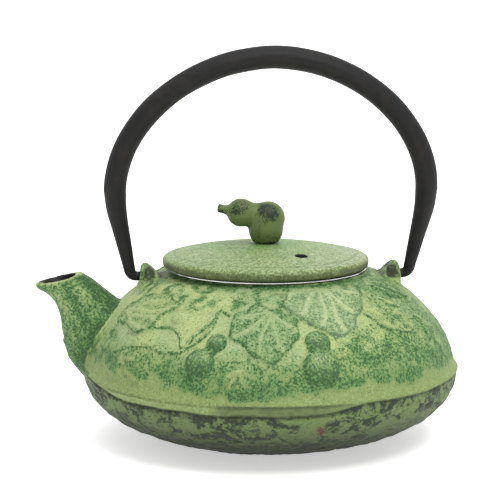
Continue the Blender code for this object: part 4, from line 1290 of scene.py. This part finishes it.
def make_knob(material):
    knob = new_mesh_object("gourd_knob", *turned(eased(KNOB_FOOT, 1.2), 96, LID_X + 0.1))
    big = Vector((KNOB_BIG_BULB[0], 0.0, KNOB_BIG_BULB[1]))
    axis = Vector((KNOB_SMALL_BULB[0], 0.0, KNOB_SMALL_BULB[1])) - big
    points, faces = turned(gourd_outline(axis.length), 96)
    turn = np.array(axis.to_track_quat("Z", "Y").to_matrix())
    gourd = new_mesh_object("gourd", points @ turn.T + np.array(big), faces)
    combine(knob, [gourd], "UNION")
    combine(knob, [upright_rod("tapping", TAPPING_RADIUS, KNOB_FOOT_Z - 2, TAPPING_TOP_Z,
                               LID_X, 0.0)], "DIFFERENCE")
    fuse(knob, KNOB_SKIN)
    points = corners(knob)
    hold = soft_step(KNOB_FOOT_Z + 1.2, KNOB_FOOT_Z, points[:, 2])
    points = relax(knob, points, 30, hold)
    move_corners(knob, points)
    facing = outward(knob)
    points += facing * (0.07 * lumps(points, 3.0, 51) * (1 - hold))[:, None]
    points[:, 2] = np.maximum(points[:, 2], KNOB_FOOT_Z)
    move_corners(knob, points)
    # painted shade on faces turned downwards and at the foot where it meets the lid; the crown
    # patches and the stem are the knob's own dark paint
    under = soft_step(0.3, -0.9, facing[:, 2]) * 0.3
    contact = 0.6 * soft_step(KNOB_FOOT_Z + 1.6, KNOB_FOOT_Z, points[:, 2])
    for bulb_x, bulb_z, reach in ((*KNOB_BIG_BULB, 7.0), (*KNOB_SMALL_BULB, 5.6)):
        crown = np.linalg.norm(points - (bulb_x - 0.5, -4.5, bulb_z + 3.0), axis=1)
        under = np.maximum(under, 0.72 * soft_step(reach, reach * 0.35, crown))
    stem = soft_step(KNOB_SMALL_BULB[0] - 6.0, KNOB_SMALL_BULB[0] - 8.5, points[:, 0])
    contact = np.maximum(contact, 0.6 * stem)
    keep_mask(knob, "wash_and_shade", np.maximum(under, contact) + 0.25 * lumps(points, 4.0, 52))
    return finish_piece(knob, material, "lid", "knob_green_iron", "lid_knob")


def make_fastener(material):
    """The screw and washer under the lid that hold the knob."""
    inner = TAPPING_RADIUS
    outer = (WASHER_HIGH[0] - WASHER_LOW[0]) / 2
    low, high = WASHER_LOW[2], WASHER_HIGH[2]
    washer = new_mesh_object("knob_washer_plate", *turned(
        eased([(inner, high), (outer, high), (outer, low), (inner, low)], 0.2, closed=True),
        96, LID_X, closed=True))
    finish_piece(washer, material, "lid", "zinc_steel", "knob_washer")
    head_radius = (SCREW_HIGH[0] - SCREW_LOW[0]) / 2
    head_low, head_top = SCREW_LOW[2], SCREW_LOW[2] + SCREW_HEAD_HEIGHT
    profile = [(0.0, SCREW_HIGH[2]), (SHANK_RADIUS - 0.5, SCREW_HIGH[2]),
               (SHANK_RADIUS, SCREW_HIGH[2] - 0.5)]
    for z in np.arange(SCREW_HIGH[2] - 0.8, head_top + 0.9, -THREAD_PITCH / 2):
        profile.append((SHANK_RADIUS - THREAD_DEPTH * (len(profile) % 2), z))
    profile += [(SHANK_RADIUS, head_top), (head_radius, head_top), (head_radius, head_low + 1.0),
                (head_radius - 0.9, head_low), (0.0, head_low)]
    screw = new_mesh_object("knob_screw_pan_head", *turned(eased(profile, 0.25, 4), 96, LID_X))
    left, right = LID_X - SLOT_HALF_LENGTH, LID_X + SLOT_HALF_LENGTH
    slot = [[(x, y, z) for x, y in ((left, -SLOT_HALF_WIDTH), (right, -SLOT_HALF_WIDTH),
                                    (right, SLOT_HALF_WIDTH), (left, SLOT_HALF_WIDTH))]
            for z in (head_low - SLOT_DEPTH, head_low + SLOT_DEPTH)]
    combine(screw, [new_mesh_object("slot", *lofted(slot))], "DIFFERENCE")
    finish_piece(screw, material, "lid", "zinc_steel", "knob_screw")
    screw.data.set_sharp_from_angle(angle=math.radians(40))


# === Strainer basket ===============================================================================

def make_rim(material):
    top, low = RIM_HIGH[2], RIM_HIGH[2] - FLANGE_THICKNESS
    inner, outer = SKIRT_RADII
    outline = eased([
        (inner, top), (FLANGE_RADIUS, top), (FLANGE_RADIUS, low), (outer, low),
        (outer, RIM_LOW[2]), (inner, RIM_LOW[2])], 0.38, 7, closed=True)
    rim = new_mesh_object("strainer_rim", *turned(outline, 256, BASKET_X, closed=True))
    return finish_piece(rim, material, "infuser", "stainless_steel", "infuser_rim")


def make_bottom_ring(material):
    base, top = RING_LOW[2], RING_HIGH[2]
    inner, outer = SKIRT_RADII
    outline = eased([
        (inner, top), (outer, top), (outer, base), (BOTTOM_RING_INNER_RADIUS, base),
        (BOTTOM_RING_INNER_RADIUS, base + BOTTOM_RING_THICKNESS),
        (inner, base + BOTTOM_RING_THICKNESS)], 0.3, 6, closed=True)
    ring = new_mesh_object("strainer_bottom_ring", *turned(outline, 192, BASKET_X, closed=True))
    return finish_piece(ring, material, "infuser", "stainless_steel", "infuser_bottom_ring")


def wires(paths, width, up_at):
    """Square wires along the paths, capped at both ends, as points and faces."""
    points, faces = [], []
    for path in paths:
        path = np.asarray(path)
        along = np.gradient(path, axis=0)
        along /= np.linalg.norm(along, axis=1)[:, None]
        up = up_at(path)
        side = np.cross(along, up)
        start = len(points)
        half = width / 2
        for point, s, u in zip(path, side, up):
            points += [point + half * s, point + half * u, point - half * s, point - half * u]
        rows = len(path)
        for i in range(rows - 1):
            a = start + 4 * i
            for j in range(4):
                k = (j + 1) % 4
                faces.append((a + j, a + k, a + 4 + k, a + 4 + j))
        faces.append((start + 3, start + 2, start + 1, start))
        end = start + 4 * (rows - 1)
        faces.append((end, end + 1, end + 2, end + 3))
    return np.array(points), faces


def make_wall(material):
    """The basket's woven wall: upright wires that pass in and out of the level ones."""
    low, high = WALL_LOW[2], WALL_HIGH[2]
    pitch = 2 * math.pi * WALL_RADIUS / WALL_WIRES
    levels = int((high - low) / pitch)
    paths = []
    centre = np.array([BASKET_X, 0.0, 0.0])
    heights = np.linspace(low + 0.2, high - 0.2, levels * 2 + 1)
    for i in range(WALL_WIRES):
        turn = 2 * math.pi * i / WALL_WIRES
        weave = WALL_RADIUS + WALL_SWING * np.cos(math.pi * (np.arange(len(heights)) / 2 + i))
        paths.append(np.stack([BASKET_X + weave * math.cos(turn), weave * math.sin(turn),
                               heights], axis=1))
    turns = np.linspace(0, 2 * math.pi, WALL_WIRES + 1)
    for i in range(levels):
        z = low + (i + 0.5) * (high - low) / levels
        weave = WALL_RADIUS - WALL_SWING * np.cos(math.pi * (np.arange(len(turns)) + i))
        paths.append(np.stack([BASKET_X + weave * np.cos(turns), weave * np.sin(turns),
                               np.full(len(turns), z)], axis=1))

    def away(path):
        up = (path - centre) * (1, 1, 0)
        return up / np.linalg.norm(up, axis=1)[:, None]

    wall = new_mesh_object("strainer_wall_mesh", *wires(paths, WIRE, away))
    return finish_piece(wall, material, "infuser", "steel_screen", "infuser_wall")


def make_bottom_screen(material):
    """The basket's flat bottom: wires both ways, cut to a round."""
    radius = (SCREEN_HIGH[0] - SCREEN_LOW[0] - WIRE) / 2
    z = (SCREEN_LOW[2] + SCREEN_HIGH[2]) / 2
    count = int(radius / SCREEN_PITCH)
    paths = []
    for i in range(-count, count + 1):
        offset = i * SCREEN_PITCH
        reach = math.sqrt(radius ** 2 - offset ** 2)
        steps = max(2, int(2 * reach / SCREEN_PITCH))
        run = np.linspace(-reach, reach, steps + 1)
        weave = SCREEN_SWING * np.cos(math.pi * (run / SCREEN_PITCH + i))
        paths.append(np.stack([BASKET_X + run, np.full(len(run), offset), z + weave], axis=1))
        paths.append(np.stack([BASKET_X + np.full(len(run), offset), run, z - weave], axis=1))
    screen = new_mesh_object("strainer_bottom_mesh", *wires(
        paths, WIRE, lambda path: np.tile((0.0, 0.0, 1.0), (len(path), 1))))
    return finish_piece(screen, material, "infuser", "steel_screen", "infuser_bottom")


# === Studio ========================================================================================

def make_camera():
    """The view from the front, a little to the spout's side and from above."""
    swing, pitch = math.radians(CAMERA_SWING), math.radians(CAMERA_PITCH)
    camera = bpy.data.objects.new("camera", bpy.data.cameras.new("camera"))
    camera.location = (-CAMERA_DISTANCE * math.sin(swing), -CAMERA_DISTANCE * math.cos(swing),
                       CAMERA_HEIGHT)
    camera.rotation_euler = (math.pi / 2 - pitch, 0.0, math.radians(CAMERA_AIM) - swing)
    camera.data.lens = CAMERA_LENS
    camera.data.sensor_width = CAMERA_SENSOR
    bpy.context.scene.collection.objects.link(camera)
    bpy.context.scene.camera = camera


def make_lamp(name, place, size, power):
    lamp = bpy.data.objects.new(name, bpy.data.lights.new(name, "AREA"))
    lamp.data.shape = "SQUARE"
    lamp.data.size = size
    lamp.data.energy = power
    lamp.location = place
    way = Vector(LAMP_TARGET) - Vector(place)
    lamp.rotation_euler = way.to_track_quat("-Z", "Y").to_euler()
    bpy.context.scene.collection.objects.link(lamp)


def make_studio():
    """A pale floor that curves up behind, soft light from above and a bright room."""
    bend_start = FLOOR_DEPTH - FLOOR_BEND
    floor = [(FLOOR_FRONT, 0.0), (bend_start, 0.0)]
    for turn in np.linspace(0, math.pi / 2, 16):
        floor.append((bend_start + FLOOR_BEND * math.sin(turn),
                      FLOOR_BEND - FLOOR_BEND * math.cos(turn)))
    floor.append((FLOOR_DEPTH, FLOOR_RISE))
    points = [(x / MM, y / MM, z / MM) for y, z in floor
              for x in (-FLOOR_HALF_WIDTH, FLOOR_HALF_WIDTH)]
    faces = [(2 * i, 2 * i + 1, 2 * i + 3, 2 * i + 2) for i in range(len(floor) - 1)]
    sweep = new_mesh_object("studio_floor", points, faces)
    sweep.data.shade_smooth()
    paper = Finish("studio_paper", base_color=(0.93, 0.93, 0.93), roughness=0.9,
                   specular_ior_level=0.1, emission_color=(1.0, 1.0, 1.0),
                   emission_strength=0.5)
    sweep.data.materials.append(paper.material)
    world = bpy.data.worlds.new("studio")
    world.use_nodes = True
    background = world.node_tree.nodes["Background"]
    background.inputs["Color"].default_value = (1.0, 1.0, 1.0, 1.0)
    background.inputs["Strength"].default_value = ROOM_LIGHT
    bpy.context.scene.world = world
    bpy.context.scene.view_settings.view_transform = "Standard"
    make_lamp("key_softbox", (0.3, -0.75, 1.3), 0.7, 15.0)
    make_lamp("top_softbox", (0.0, 0.1, 1.5), 1.4, 12.0)


def main():
    make_camera()
    make_studio()
    make_body(patina_iron())
    make_bail(black_iron())
    make_lid(lid_iron())
    make_knob(knob_iron())
    make_fastener(zinc_steel())
    steel, screen = pressed_steel("pressed_steel"), pressed_steel("woven_steel", 0.45, 0.35)
    make_rim(steel)
    make_bottom_ring(steel)
    make_wall(screen)
    make_bottom_screen(screen)


main()
